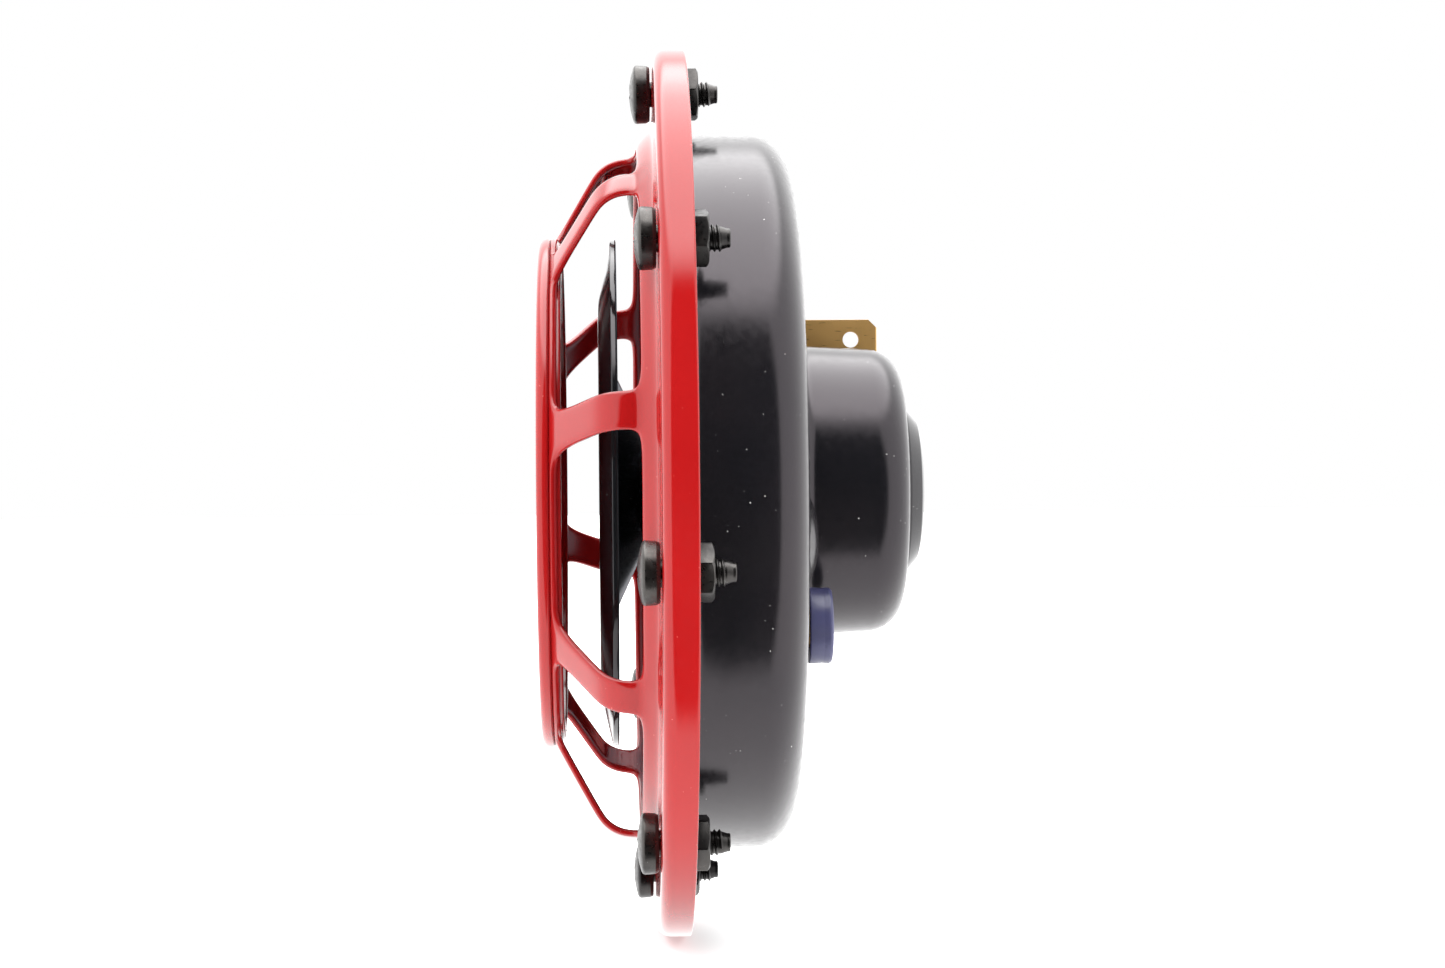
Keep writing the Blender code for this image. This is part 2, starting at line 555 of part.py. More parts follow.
def build_clamped_sheets(gasket_look, diaphragm_look, bolt_drill):
    """Make both gaskets and the diaphragm, which the rim bolts clamp."""
    outer = RIM_RADIUS - GRILLE_SHEET - PART_GAP
    inner = SHELL_RADIUS + SHELL_BEND_RADIUS
    for name, rear in (("rear_gasket", REAR_GASKET_REAR), ("front_gasket", FRONT_GASKET_REAR)):
        outline = ring(inner, outer, rear - GASKET_SHEET, rear)
        gasket = add_object(name, turned(outline, BIG_SEGMENTS), gasket_look)
        add_boolean(gasket, bolt_drill)
    hole = SPINDLE_RADIUS + HOLE_GAP
    half = DIAPHRAGM_WAVE_WIDTH / 2.0
    crest = DIAPHRAGM_WAVE_HEIGHT
    wave = [(-half, 0.0), (-half / 3.0, crest), (half / 3.0, crest), (half, 0.0)]
    rear_side = [(DIAPHRAGM_WAVE_RADIUS + across, DIAPHRAGM_REAR + rise) for across, rise in wave]
    front_side = [(radius, y - DIAPHRAGM_SHEET) for radius, y in reversed(rear_side)]
    outline = [(hole, DIAPHRAGM_REAR)] + rear_side + [(outer, DIAPHRAGM_REAR)]
    outline += [(outer, DIAPHRAGM_FRONT)] + front_side + [(hole, DIAPHRAGM_FRONT)]
    diaphragm = add_object("diaphragm", turned(outline, BIG_SEGMENTS), diaphragm_look)
    add_boolean(diaphragm, bolt_drill)


def bolt_mesh():
    """Return a pan-head bolt about its own axis, with its seat at y = 0."""
    head = BOLT_HEAD_RADIUS
    height = BOLT_HEAD_HEIGHT
    length = NUT_REAR - GRILLE_FLANGE_FRONT + SEAT_GAP + BOLT_END_LENGTH
    taper = BOLT_END_LENGTH * 0.8
    outline = [(0.0, -height), (head * 0.55, -height * 0.95)]
    outline += [(head * 0.9, -height * 0.72), (head, -height * 0.45)]
    outline += [(head, 0.0), (BOLT_RADIUS, 0.0), (BOLT_RADIUS, length - taper)]
    outline += [(BOLT_END_RADIUS, length - taper * 0.4), (BOLT_END_RADIUS, length), (0.0, length)]
    return turned(outline, SMALL_SEGMENTS)


def hex_nut(across_flats, height, hole_radius):
    """Return a chamfered hexagon nut about its own axis, from y = 0 rearwards."""
    corner = across_flats / 2.0 / math.cos(math.radians(30.0))
    chamfer = height * 0.14
    flat = across_flats / 2.0 * 0.98
    bm = bmesh.new()
    levels = ((0.0, flat), (chamfer, corner), (height - chamfer, corner), (height, flat))
    loops = []
    for y, radius in levels:
        loops.append([bm.verts.new(around(radius, 60.0 * side, y)) for side in range(6)])
    holes = []
    for y in (0.0, height):
        holes.append([bm.verts.new(around(hole_radius, 60.0 * side, y)) for side in range(6)])
    rings = [holes[0]] + loops + [holes[1]]
    for index in range(len(rings)):
        for side in range(6):
            after = (side + 1) % 6
            low = rings[index - 1]
            high = rings[index]
            bm.faces.new((low[side], low[after], high[after], high[side]))
    return bm


def build_rim_fasteners(look):
    """Make the rim bolts and their nuts."""
    hole_radius = (BOLT_RADIUS + SEAT_GAP) / math.cos(math.radians(30.0))
    for index, (x, z) in enumerate(bolt_points(), start=1):
        seat = (x, GRILLE_FLANGE_FRONT - SEAT_GAP, z)
        add_object(f"rim_bolt_{index}", bolt_mesh(), look, seat)
        nut = hex_nut(NUT_ACROSS_FLATS, NUT_HEIGHT, hole_radius)
        add_object(f"rim_nut_{index}", nut, look, (x, NUT_FRONT, z))


def tone_disc_outline():
    """Return the closed outline of the dished tone disc."""
    hole = SPINDLE_RADIUS + HOLE_GAP
    flat_rear = TONE_SEAT_REAR - TONE_CONE_RISE
    sheet = TONE_DISC_SHEET
    return [
        (hole, TONE_SEAT_REAR), (TONE_SEAT_RADIUS, TONE_SEAT_REAR), (TONE_CONE_RADIUS, flat_rear),
        (TONE_FLAT_RADIUS + 0.5 * MM, flat_rear), (TONE_DISC_RADIUS, flat_rear + TONE_EDGE_FALL),
        (TONE_DISC_RADIUS, flat_rear + TONE_EDGE_FALL - TONE_EDGE_SHEET), (TONE_FLAT_RADIUS, flat_rear - sheet),
        (TONE_CONE_RADIUS - 0.6 * sheet, flat_rear - sheet), (TONE_SEAT_RADIUS - 0.6 * sheet, TONE_SEAT_FRONT),
        (hole, TONE_SEAT_FRONT),
    ]


def build_striker(black, steel, washer_look):
    """Make the moving group: armature, spindle, tone disc and what clamps it."""
    axis = add_joint_empty("armature_stroke_axis", (0.0, 0.0, 0.0))
    hole = SPINDLE_RADIUS + HOLE_GAP
    add_object("tone_disc", turned(tone_disc_outline(), BIG_SEGMENTS), black, parent=axis)
    spacer = ring(hole, SPACER_RADIUS, SPACER_REAR - SPACER_LENGTH, SPACER_REAR)
    add_object("tone_disc_spacer", turned(spacer, MEDIUM_SEGMENTS), steel, parent=axis)
    washer = ring(hole, SPINDLE_WASHER_RADIUS, SPINDLE_WASHER_REAR - SPINDLE_WASHER_SHEET, SPINDLE_WASHER_REAR)
    add_object("spindle_washer", turned(washer, MEDIUM_SEGMENTS), washer_look, parent=axis)
    nut = hex_nut(SPINDLE_NUT_ACROSS_FLATS, SPINDLE_NUT_HEIGHT, hole / math.cos(math.radians(30.0)))
    nut_front = SPINDLE_NUT_REAR - SPINDLE_NUT_HEIGHT
    add_object("spindle_nut", nut, washer_look, (0.0, nut_front, 0.0), axis)
    socket = ARMATURE_FRONT + SPINDLE_SOCKET_DEPTH
    spindle_rear = socket - PART_GAP
    chamfer = 0.5 * MM
    spindle = [(0.0, SPINDLE_FRONT), (SPINDLE_RADIUS - chamfer, SPINDLE_FRONT)]
    spindle += [(SPINDLE_RADIUS, SPINDLE_FRONT + chamfer), (SPINDLE_RADIUS, spindle_rear), (0.0, spindle_rear)]
    add_object("spindle", turned(spindle, SMALL_SEGMENTS), steel, parent=axis)
    armature = [
        (hole, ARMATURE_FRONT), (ARMATURE_FRONT_RADIUS, ARMATURE_FRONT), (ARMATURE_FRONT_RADIUS, COLLAR_FRONT),
        (ARMATURE_COLLAR_RADIUS, COLLAR_FRONT), (ARMATURE_COLLAR_RADIUS, COLLAR_REAR),
        (PLUNGER_RADIUS, COLLAR_REAR),
        (PLUNGER_RADIUS, PLUNGER_REAR), (0.0, PLUNGER_REAR), (0.0, socket), (hole, socket),
    ]
    add_object("armature", turned(armature, MEDIUM_SEGMENTS), steel, parent=axis)


def build_magnet(steel, bobbin_look, wire_look, boss_look):
    """Make the electromagnet in the cup, and the boss behind it."""
    plate_hole = PLUNGER_RADIUS + PLUNGER_CLEARANCE
    plate_ring = ring(plate_hole, POLE_PLATE_RADIUS, POLE_PLATE_FRONT, POLE_PLATE_REAR)
    pole_plate = add_object("pole_plate", turned(plate_ring, MEDIUM_SEGMENTS), steel)
    clocks = (SUPPLY_LEAD_CLOCK_DEG, BREAKER_LEAD_CLOCK_DEG)
    lead_points = [(place.x, place.z) for place in (around(LEAD_ORBIT_RADIUS, clock) for clock in clocks)]
    lead_drill = drill_bits(lead_points, LEAD_HOLE_RADIUS, POLE_PLATE_FRONT - MM, POLE_PLATE_REAR + MM)
    add_boolean(pole_plate, add_cutter("lead_hole_drill", lead_drill))

    hub_inner = PLUNGER_RADIUS + BOBBIN_CLEARANCE
    hub_outer = hub_inner + BOBBIN_WALL
    flange = BOBBIN_FLANGE_RADIUS
    bobbin = [
        (hub_inner, BOBBIN_FRONT), (flange, BOBBIN_FRONT), (flange, BOBBIN_FRONT + BOBBIN_WALL),
        (hub_outer, BOBBIN_FRONT + BOBBIN_WALL), (hub_outer, BOBBIN_REAR - BOBBIN_WALL),
        (flange, BOBBIN_REAR - BOBBIN_WALL), (flange, BOBBIN_REAR), (hub_inner, BOBBIN_REAR),
    ]
    add_object("coil_bobbin", turned(bobbin, MEDIUM_SEGMENTS), bobbin_look)
    winding = ring(hub_outer + PART_GAP, WINDING_RADIUS, BOBBIN_FRONT + BOBBIN_WALL + PART_GAP,
                   BOBBIN_REAR - BOBBIN_WALL - PART_GAP)
    add_object("coil_winding", turned(winding, MEDIUM_SEGMENTS), wire_look)

    neck_rear = -CORE_NECK_SEAT - PART_GAP
    core = [
        (0.0, CORE_FRONT), (PLUNGER_RADIUS, CORE_FRONT), (PLUNGER_RADIUS, CORE_FLANGE_FRONT),
        (CORE_FLANGE_RADIUS, CORE_FLANGE_FRONT), (CORE_FLANGE_RADIUS, CORE_REAR), (CORE_NECK_RADIUS, CORE_REAR),
        (CORE_NECK_RADIUS, neck_rear), (MOUNT_HOLE_RADIUS, neck_rear), (MOUNT_HOLE_RADIUS, -MOUNT_HOLE_DEPTH),
        (0.0, -MOUNT_HOLE_DEPTH),
    ]
    add_object("pole_core", turned(core, MEDIUM_SEGMENTS), steel)

    boss_front = CUP_REAR + SEAT_GAP
    fall = BOSS_BASE_RADIUS - BOSS_FACE_RADIUS
    neck_hole = CORE_NECK_RADIUS + HOLE_GAP
    boss = [(neck_hole, boss_front), (BOSS_BASE_RADIUS, boss_front)]
    boss += arc((BOSS_FACE_RADIUS, boss_front), (fall, -boss_front), 6, 90)
    boss += [(MOUNT_HOLE_RADIUS, 0.0), (MOUNT_HOLE_RADIUS, -CORE_NECK_SEAT), (neck_hole, -CORE_NECK_SEAT)]
    add_object("mount_boss", turned(boss, MEDIUM_SEGMENTS), boss_look)


def washer_at(point, inner_radius, outer_radius, front, rear, segments=SMALL_SEGMENTS):
    """Return a ring about the line through an (x, z) point."""
    bm = turned(ring(inner_radius, outer_radius, front, rear), segments)
    bmesh.ops.translate(bm, verts=bm.verts, vec=(point[0], 0.0, point[1]))
    return bm


def stud_at(point, outline, segments=SMALL_SEGMENTS):
    """Return a turned piece about the line through an (x, z) point."""
    bm = turned(outline, segments)
    bmesh.ops.translate(bm, verts=bm.verts, vec=(point[0], 0.0, point[1]))
    return bm


def build_breaker(fibre, spring, brass, silver, steel):
    """Make the contact breaker: its insulated stack, arm, fixed plate, contacts and pusher."""
    hole = RIVET_RADIUS + HOLE_GAP
    stack = (
        ("breaker_base_insulator", BASE_INSULATOR_REAR, BASE_INSULATOR_SHEET),
        ("breaker_spacer_insulator", SPACER_INSULATOR_REAR, SPACER_INSULATOR_SHEET),
        ("breaker_top_insulator", TOP_INSULATOR_REAR, TOP_INSULATOR_SHEET),
    )
    for name, rear, sheet in stack:
        add_object(name, washer_at(BREAKER_POST, hole, INSULATOR_RADIUS, rear - sheet, rear), fibre)
    head_front = RIVET_HEAD_REAR - RIVET_HEAD_HEIGHT
    rivet = [(0.0, head_front), (RIVET_HEAD_RADIUS * 0.6, head_front), (RIVET_HEAD_RADIUS, RIVET_HEAD_REAR)]
    rivet += [(RIVET_RADIUS, RIVET_HEAD_REAR), (RIVET_RADIUS, BASE_INSULATOR_REAR), (0.0, BASE_INSULATOR_REAR)]
    add_object("breaker_rivet", stud_at(BREAKER_POST, rivet), steel)

    pusher = pusher_point()
    post = (BREAKER_POST[0], 0.0, BREAKER_POST[1])
    arm_axis = add_joint_empty("contact_arm_axis", post)
    plate_axis = add_joint_empty("fixed_plate_axis", post)
    back = Matrix.Translation(-Vector(post))
    drill_front = PLATE_FRONT - MM
    drill_rear = ARM_REAR + MM
    post_drill = add_cutter("post_drill", drill_bits([BREAKER_POST], hole, drill_front, drill_rear))
    small_hole = CONTACT_SHANK_RADIUS + HOLE_GAP
    contact_drill = drill_bits([CONTACT_POINT], small_hole, drill_front, drill_rear)
    contact_drill = add_cutter("contact_drill", contact_drill)
    pusher_drill = add_cutter("pusher_drill", drill_bits([pusher], small_hole, drill_front, drill_rear))

    arm_mesh = plate(((BREAKER_POST, ARM_POST_RADIUS), (CONTACT_POINT, ARM_CONTACT_RADIUS),
                      (pusher, ARM_PUSHER_RADIUS)), ARM_FRONT, ARM_REAR)
    bmesh.ops.transform(arm_mesh, matrix=back, verts=arm_mesh.verts)
    arm = add_object("contact_arm", arm_mesh, spring, parent=arm_axis)
    for drill in (post_drill, contact_drill, pusher_drill):
        add_boolean(arm, drill)

    plate_mesh = plate(((BREAKER_POST, PLATE_POST_RADIUS), (CONTACT_POINT, PLATE_END_RADIUS),
                        (ADJUSTER_POINT, PLATE_END_RADIUS)), PLATE_FRONT, PLATE_REAR)
    bmesh.ops.transform(plate_mesh, matrix=back, verts=plate_mesh.verts)
    fixed_plate = add_object("fixed_contact_plate", plate_mesh, brass, parent=plate_axis)
    for drill in (post_drill, contact_drill):
        add_boolean(fixed_plate, drill)

    space = ARM_FRONT - PLATE_REAR
    button = (space - CONTACT_OPENING) / 2.0 - PART_GAP
    fixed = [(0.0, PLATE_FRONT - CONTACT_TAIL), (CONTACT_SHANK_RADIUS, PLATE_FRONT - CONTACT_TAIL)]
    fixed += [(CONTACT_SHANK_RADIUS, PLATE_REAR + PART_GAP), (CONTACT_RADIUS, PLATE_REAR + PART_GAP)]
    fixed += [(CONTACT_RADIUS, PLATE_REAR + PART_GAP + button), (0.0, PLATE_REAR + PART_GAP + button)]
    fixed_mesh = stud_at(CONTACT_POINT, fixed)
    bmesh.ops.transform(fixed_mesh, matrix=back, verts=fixed_mesh.verts)
    add_object("fixed_contact", fixed_mesh, silver, parent=plate_axis)
    moving = [(0.0, ARM_FRONT - PART_GAP - button), (CONTACT_RADIUS, ARM_FRONT - PART_GAP - button)]
    moving += [(CONTACT_RADIUS, ARM_FRONT - PART_GAP), (CONTACT_SHANK_RADIUS, ARM_FRONT - PART_GAP)]
    moving += [(CONTACT_SHANK_RADIUS, ARM_REAR + CONTACT_TAIL), (0.0, ARM_REAR + CONTACT_TAIL)]
    moving_mesh = stud_at(CONTACT_POINT, moving)
    bmesh.ops.transform(moving_mesh, matrix=back, verts=moving_mesh.verts)
    add_object("moving_contact", moving_mesh, silver, parent=arm_axis)

    peg = [(0.0, COLLAR_REAR + PART_GAP), (CONTACT_RADIUS, COLLAR_REAR + PART_GAP)]
    peg += [(CONTACT_RADIUS, ARM_FRONT - PART_GAP), (CONTACT_SHANK_RADIUS, ARM_FRONT - PART_GAP)]
    peg += [(CONTACT_SHANK_RADIUS, ARM_REAR + CONTACT_TAIL), (0.0, ARM_REAR + CONTACT_TAIL)]
    peg_mesh = stud_at(pusher, peg)
    bmesh.ops.transform(peg_mesh, matrix=back, verts=peg_mesh.verts)
    add_object("arm_pusher", peg_mesh, fibre, parent=arm_axis)


def build_adjuster(brass, steel, fibre, cap_look):
    """Make the adjusting screw, its bush and tip, and the cap over it."""
    radius = Vector(ADJUSTER_POINT).length
    face = shell_face_y(radius)
    centre = (ADJUSTER_POINT[0], 0.0, ADJUSTER_POINT[1])
    flange_rear = shell_inner_y(radius + BUSH_FLANGE_RADIUS) - PART_GAP
    flange_front = flange_rear - BUSH_FLANGE_SHEET
    bore = SCREW_RADIUS + SEAT_GAP
    bush_rear = face + BUSH_PROJECTION
    bush = [(bore, flange_front), (BUSH_FLANGE_RADIUS, flange_front), (BUSH_FLANGE_RADIUS, flange_rear)]
    bush += [(BUSH_RADIUS, flange_rear), (BUSH_RADIUS, bush_rear), (bore, bush_rear)]
    add_object("adjuster_bush", turned(bush, SMALL_SEGMENTS), brass, centre)

    axis = add_joint_empty("adjuster_axis", centre)
    tip_front = PLATE_REAR + PART_GAP
    tip = [(0.0, tip_front), (TIP_RADIUS * 0.8, tip_front), (TIP_RADIUS, tip_front + TIP_LENGTH * 0.3)]
    tip += [(TIP_RADIUS, tip_front + TIP_LENGTH), (0.0, tip_front + TIP_LENGTH)]
    add_object("adjuster_tip", turned(tip, SMALL_SEGMENTS), fibre, parent=axis)
    screw_front = tip_front + TIP_LENGTH + PART_GAP
    screw_rear = screw_front + SCREW_LENGTH
    screw = [(0.0, screw_front), (SCREW_RADIUS, screw_front), (SCREW_RADIUS, screw_rear), (0.0, screw_rear)]
    screw_piece = add_object("adjusting_screw", turned(screw, SMALL_SEGMENTS), steel, parent=axis)
    slot_floor = screw_rear - SCREW_SLOT_DEPTH
    slot_low = (centre[0] - SCREW_RADIUS - MM, slot_floor, centre[2] - SCREW_SLOT_WIDTH / 2.0)
    slot_high = (centre[0] + SCREW_RADIUS + MM, screw_rear + MM, centre[2] + SCREW_SLOT_WIDTH / 2.0)
    add_boolean(screw_piece, add_cutter("screw_slot_form", box(slot_low, slot_high)))

    cap_front = shell_face_y(radius - CAP_RADIUS) + PART_GAP
    cap_rear = cap_front + CAP_LENGTH
    inner = BUSH_RADIUS + HOLE_GAP
    edge = 0.9 * MM
    cap = [(0.0, cap_rear - CAP_TOP), (inner, cap_rear - CAP_TOP), (inner, cap_front), (CAP_RADIUS, cap_front)]
    cap += arc((CAP_RADIUS - edge, cap_rear - edge), (edge, edge), 0, 90, 2) + [(0.0, cap_rear)]
    add_object("adjuster_cap", turned(cap, MEDIUM_SEGMENTS), cap_look, centre)


def blade_mesh(foot_front, blade_point):
    """Return an L-shaped blade terminal: a foot across the housing and a blade along the axis."""
    x, z = blade_point
    half = BLADE_SHEET / 2.0
    bend = BLADE_SHEET
    outline = [(x - half - FOOT_LENGTH, foot_front), (x + half - bend, foot_front)]
    outline += arc((x + half - bend, foot_front + bend), (bend, bend), -90, 0, 3)
    outline += [(x + half, foot_front + BLADE_LENGTH), (x - half, foot_front + BLADE_LENGTH)]
    outline += [(x - half, foot_front + BLADE_SHEET), (x - half - FOOT_LENGTH, foot_front + BLADE_SHEET)]
    bm = bmesh.new()
    face = bm.faces.new([bm.verts.new((px, py, z - BLADE_WIDTH / 2.0)) for px, py in outline])
    extruded = bmesh.ops.extrude_face_region(bm, geom=[face])["geom"]
    moved = [item for item in extruded if isinstance(item, bmesh.types.BMVert)]
    bmesh.ops.translate(bm, verts=moved, vec=(0.0, 0.0, BLADE_WIDTH))
    return bm


def blade_tip_form(foot_front, blade_point):
    """Return what is cut from a blade: its hole and both corners of its tip."""
    x, z = blade_point
    tip = foot_front + BLADE_LENGTH
    reach = 2.0 * BLADE_SHEET
    bm = bmesh.new()
    turn = Matrix.Rotation(math.radians(90.0), 4, "Y")
    hole = Matrix.Translation((x, tip - BLADE_HOLE_FROM_TIP, z)) @ turn
    bmesh.ops.create_cone(bm, cap_ends=True, segments=SMALL_SEGMENTS, radius1=BLADE_HOLE_RADIUS,
                          radius2=BLADE_HOLE_RADIUS, depth=2.0 * reach, matrix=hole)
    for side in (-1.0, 1.0):
        edge_z = z + side * BLADE_WIDTH / 2.0
        past = side * MM
        corner = [(tip + MM, edge_z - side * BLADE_TIP_CHAMFER - past), (tip + MM, edge_z + past),
                  (tip - BLADE_TIP_CHAMFER - MM, edge_z + past)]
        face = bm.faces.new([bm.verts.new((x - reach, y, corner_z)) for y, corner_z in corner])
        extruded = bmesh.ops.extrude_face_region(bm, geom=[face])["geom"]
        moved = [item for item in extruded if isinstance(item, bmesh.types.BMVert)]
        bmesh.ops.translate(bm, verts=moved, vec=(2.0 * reach, 0.0, 0.0))
    return bm


def build_terminals(brass, fibre):
    """Make both blade terminals with their insulators and rivets."""
    rivets = [rivet_point(blade_point) for blade_point in TERMINALS]
    plate_front = SHELL_REAR + PART_GAP
    plate_rear = plate_front + TERMINAL_PLATE_SHEET
    foot_front = plate_rear + PART_GAP
    hole = RIVET_RADIUS + HOLE_GAP
    discs = [(point, TERMINAL_PLATE_RADIUS) for point in rivets]
    discs += [(blade_point, BLADE_WIDTH / 2.0) for blade_point in TERMINALS]
    insulator = add_object("terminal_insulator", plate(discs, plate_front, plate_rear), fibre)
    reach = max(Vector(place).length for place in rivets) + TERMINAL_WASHER_RADIUS
    washer_rear = shell_inner_y(reach) - PART_GAP
    collar_front = washer_rear + PART_GAP
    washer_front = washer_rear - TERMINAL_WASHER_SHEET
    inner_head_rear = washer_front - PART_GAP
    inner_head_front = inner_head_rear - TERMINAL_RIVET_HEAD_HEIGHT
    outer_head_front = foot_front + BLADE_SHEET + PART_GAP
    outer_head_rear = outer_head_front + TERMINAL_RIVET_HEAD_HEIGHT
    collars = drill_bits(rivets, TERMINAL_COLLAR_RADIUS, collar_front, (plate_front + plate_rear) / 2.0)
    add_boolean(insulator, add_cutter("collar_form", collars), "UNION")
    rivet_drill = drill_bits(rivets, hole, inner_head_front, outer_head_rear)
    rivet_drill = add_cutter("terminal_rivet_drill", rivet_drill)
    add_boolean(insulator, rivet_drill)
    cup_room = drill_bits([(0.0, 0.0)], CUP_RADIUS + TERMINAL_PLATE_CUP_CLEARANCE, POLE_PLATE_FRONT, CUP_REAR,
                          BIG_SEGMENTS)
    add_boolean(insulator, add_cutter("cup_room_form", cup_room))
    head = TERMINAL_RIVET_HEAD_RADIUS
    for index, (blade_point, rivet_place) in enumerate(zip(TERMINALS, rivets), start=1):
        blade = add_object(f"terminal_blade_{index}", blade_mesh(foot_front, blade_point), brass)
        tip_form = add_cutter(f"blade_tip_form_{index}", blade_tip_form(foot_front, blade_point))
        add_boolean(blade, tip_form)
        add_boolean(blade, rivet_drill)
        washer = washer_at(rivet_place, hole, TERMINAL_WASHER_RADIUS, washer_front, washer_rear)
        add_object(f"terminal_washer_{index}", washer, fibre)
        rivet = [(0.0, inner_head_front), (head, inner_head_front), (head, inner_head_rear)]
        rivet += [(RIVET_RADIUS, inner_head_rear), (RIVET_RADIUS, outer_head_front), (head, outer_head_front)]
        rivet += [(head * 0.6, outer_head_rear), (0.0, outer_head_rear)]
        add_object(f"terminal_rivet_{index}", stud_at(rivet_place, rivet), brass)
    return inner_head_front


def add_lead(name, points, look):
    """Make a wire through its route's points, smoothed between them."""
    steps = 3
    smooth = []
    padded = [points[0]] + points + [points[-1]]
    for index in range(1, len(padded) - 2):
        before, start, end, after = padded[index - 1:index + 3]
        for step in range(steps):
            t = step / steps
            square = 2.0 * before - 5.0 * start + 4.0 * end - after
            cube = 3.0 * start - before - 3.0 * end + after
            smooth.append(0.5 * (2.0 * start + (end - before) * t + square * t ** 2 + cube * t ** 3))
    smooth.append(points[-1])
    curve = bpy.data.curves.new(name, "CURVE")
    curve.dimensions = "3D"
    curve.bevel_depth = LEAD_RADIUS
    curve.bevel_resolution = 1
    curve.use_fill_caps = True
    spline = curve.splines.new("POLY")
    spline.points.add(len(smooth) - 1)
    for point, place in zip(spline.points, smooth):
        point.co = (place.x, place.y, place.z, 1.0)
    lead = bpy.data.objects.new(name, curve)
    curve.materials.append(make_material(name, *look))
    bpy.context.collection.objects.link(lead)


def build_leads(look, terminal_head_front):
    """Make the three wires: coil to first terminal, coil to arm, fixed plate to second terminal."""
    start_y = BOBBIN_FRONT + 2.0 * BOBBIN_WALL
    front_y = POLE_PLATE_FRONT - 2.0 * LEAD_RADIUS - PART_GAP
    end_y = terminal_head_front - LEAD_RADIUS - PART_GAP
    first, second = [rivet_point(blade_point) for blade_point in TERMINALS]
    clock = SUPPLY_LEAD_CLOCK_DEG
    orbit = LEAD_ORBIT_RADIUS
    supply = [around(orbit, clock, start_y), around(orbit, clock, POLE_PLATE_REAR)]
    supply += [around(orbit, clock, POLE_PLATE_FRONT), around(orbit + 1.5 * MM, clock, front_y)]
    supply += [Vector((first[0], end_y, first[1]))]
    add_lead("supply_lead", supply, look)

    clock = BREAKER_LEAD_CLOCK_DEG
    arm_y = (ARM_FRONT + ARM_REAR) / 2.0
    arm_edge = ARM_POST_RADIUS + LEAD_RADIUS + PART_GAP
    coil = [around(orbit, clock, start_y), around(orbit, clock, POLE_PLATE_REAR)]
    coil += [around(orbit, clock, POLE_PLATE_FRONT), around(orbit + 2.0 * MM, clock, front_y)]
    coil += [Vector((BREAKER_POST[0], arm_y, BREAKER_POST[1] + arm_edge))]
    add_lead("breaker_lead", coil, look)

    plate_y = (PLATE_FRONT + PLATE_REAR) / 2.0
    edge = PLATE_POST_RADIUS + LEAD_RADIUS + PART_GAP
    outward = Vector(BREAKER_POST).normalized() * edge
    back = [Vector((BREAKER_POST[0] + outward.x, plate_y, BREAKER_POST[1] + outward.y))]
    back += [around(RETURN_LEAD_RADIUS, clock, plate_y) for clock in (12.0, 45.0, 85.0, 125.0)]
    back += [around(RETURN_LEAD_RADIUS - 1.5 * MM, 152.0, end_y - MM), Vector((second[0], end_y, second[1]))]
    add_lead("return_lead", back, look)


def main():
    """Build the horn."""
    clear_scene()
    steel = (STEEL, 0.4, 1.0)
    fastener = (FASTENER_DARK, 0.35, 0.9)
    fibre = (FIBRE_BROWN, 0.7, 0.0)
    brass = (BRASS, 0.35, 1.0)
    bolt_hole = BOLT_RADIUS + HOLE_GAP
    bolt_drill = drill_bits(bolt_points(), bolt_hole, GRILLE_FLANGE_FRONT - MM, SHELL_FLANGE_REAR + MM,
                            segments=8)
    bolt_drill = add_cutter("bolt_hole_drill", bolt_drill)
    shell = build_housing((HOUSING_BLACK, 0.35, 0.0))
    add_boolean(shell, bolt_drill)
    build_grille((GRILLE_RED, 0.2, 0.0), bolt_drill)
    build_clamped_sheets((GASKET_GREY, 0.8, 0.0), (SPRING_STEEL, 0.35, 1.0), bolt_drill)
    build_rim_fasteners(fastener)
    build_striker((HOUSING_BLACK, 0.3, 0.0), steel, fastener)
    build_magnet(steel, (BOBBIN_IVORY, 0.5, 0.0), (COPPER_ENAMEL, 0.35, 0.6), (HOUSING_BLACK, 0.2, 0.0))
    build_breaker(fibre, (SPRING_STEEL, 0.35, 1.0), brass, (SILVER, 0.25, 1.0), steel)
    build_adjuster(brass, steel, fibre, (CAP_VIOLET, 0.55, 0.0))
    terminal_head_front = build_terminals(brass, fibre)
    build_leads((COPPER_ENAMEL, 0.35, 0.6), terminal_head_front)


main()
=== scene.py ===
"""Looks of the electric disc horn: fine pieces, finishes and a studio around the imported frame.

The horn axis is the Y axis, the grille faces -Y and the mounting face of the rear boss is the plane Y = 0.
Outlines are (radius, y) pairs in metres, turned about the horn axis.
"""
import json
import logging
import math
from dataclasses import dataclass
from enum import Enum
from typing import Iterable, Optional, Sequence

import bmesh
import bpy
from mathutils import Matrix, Vector


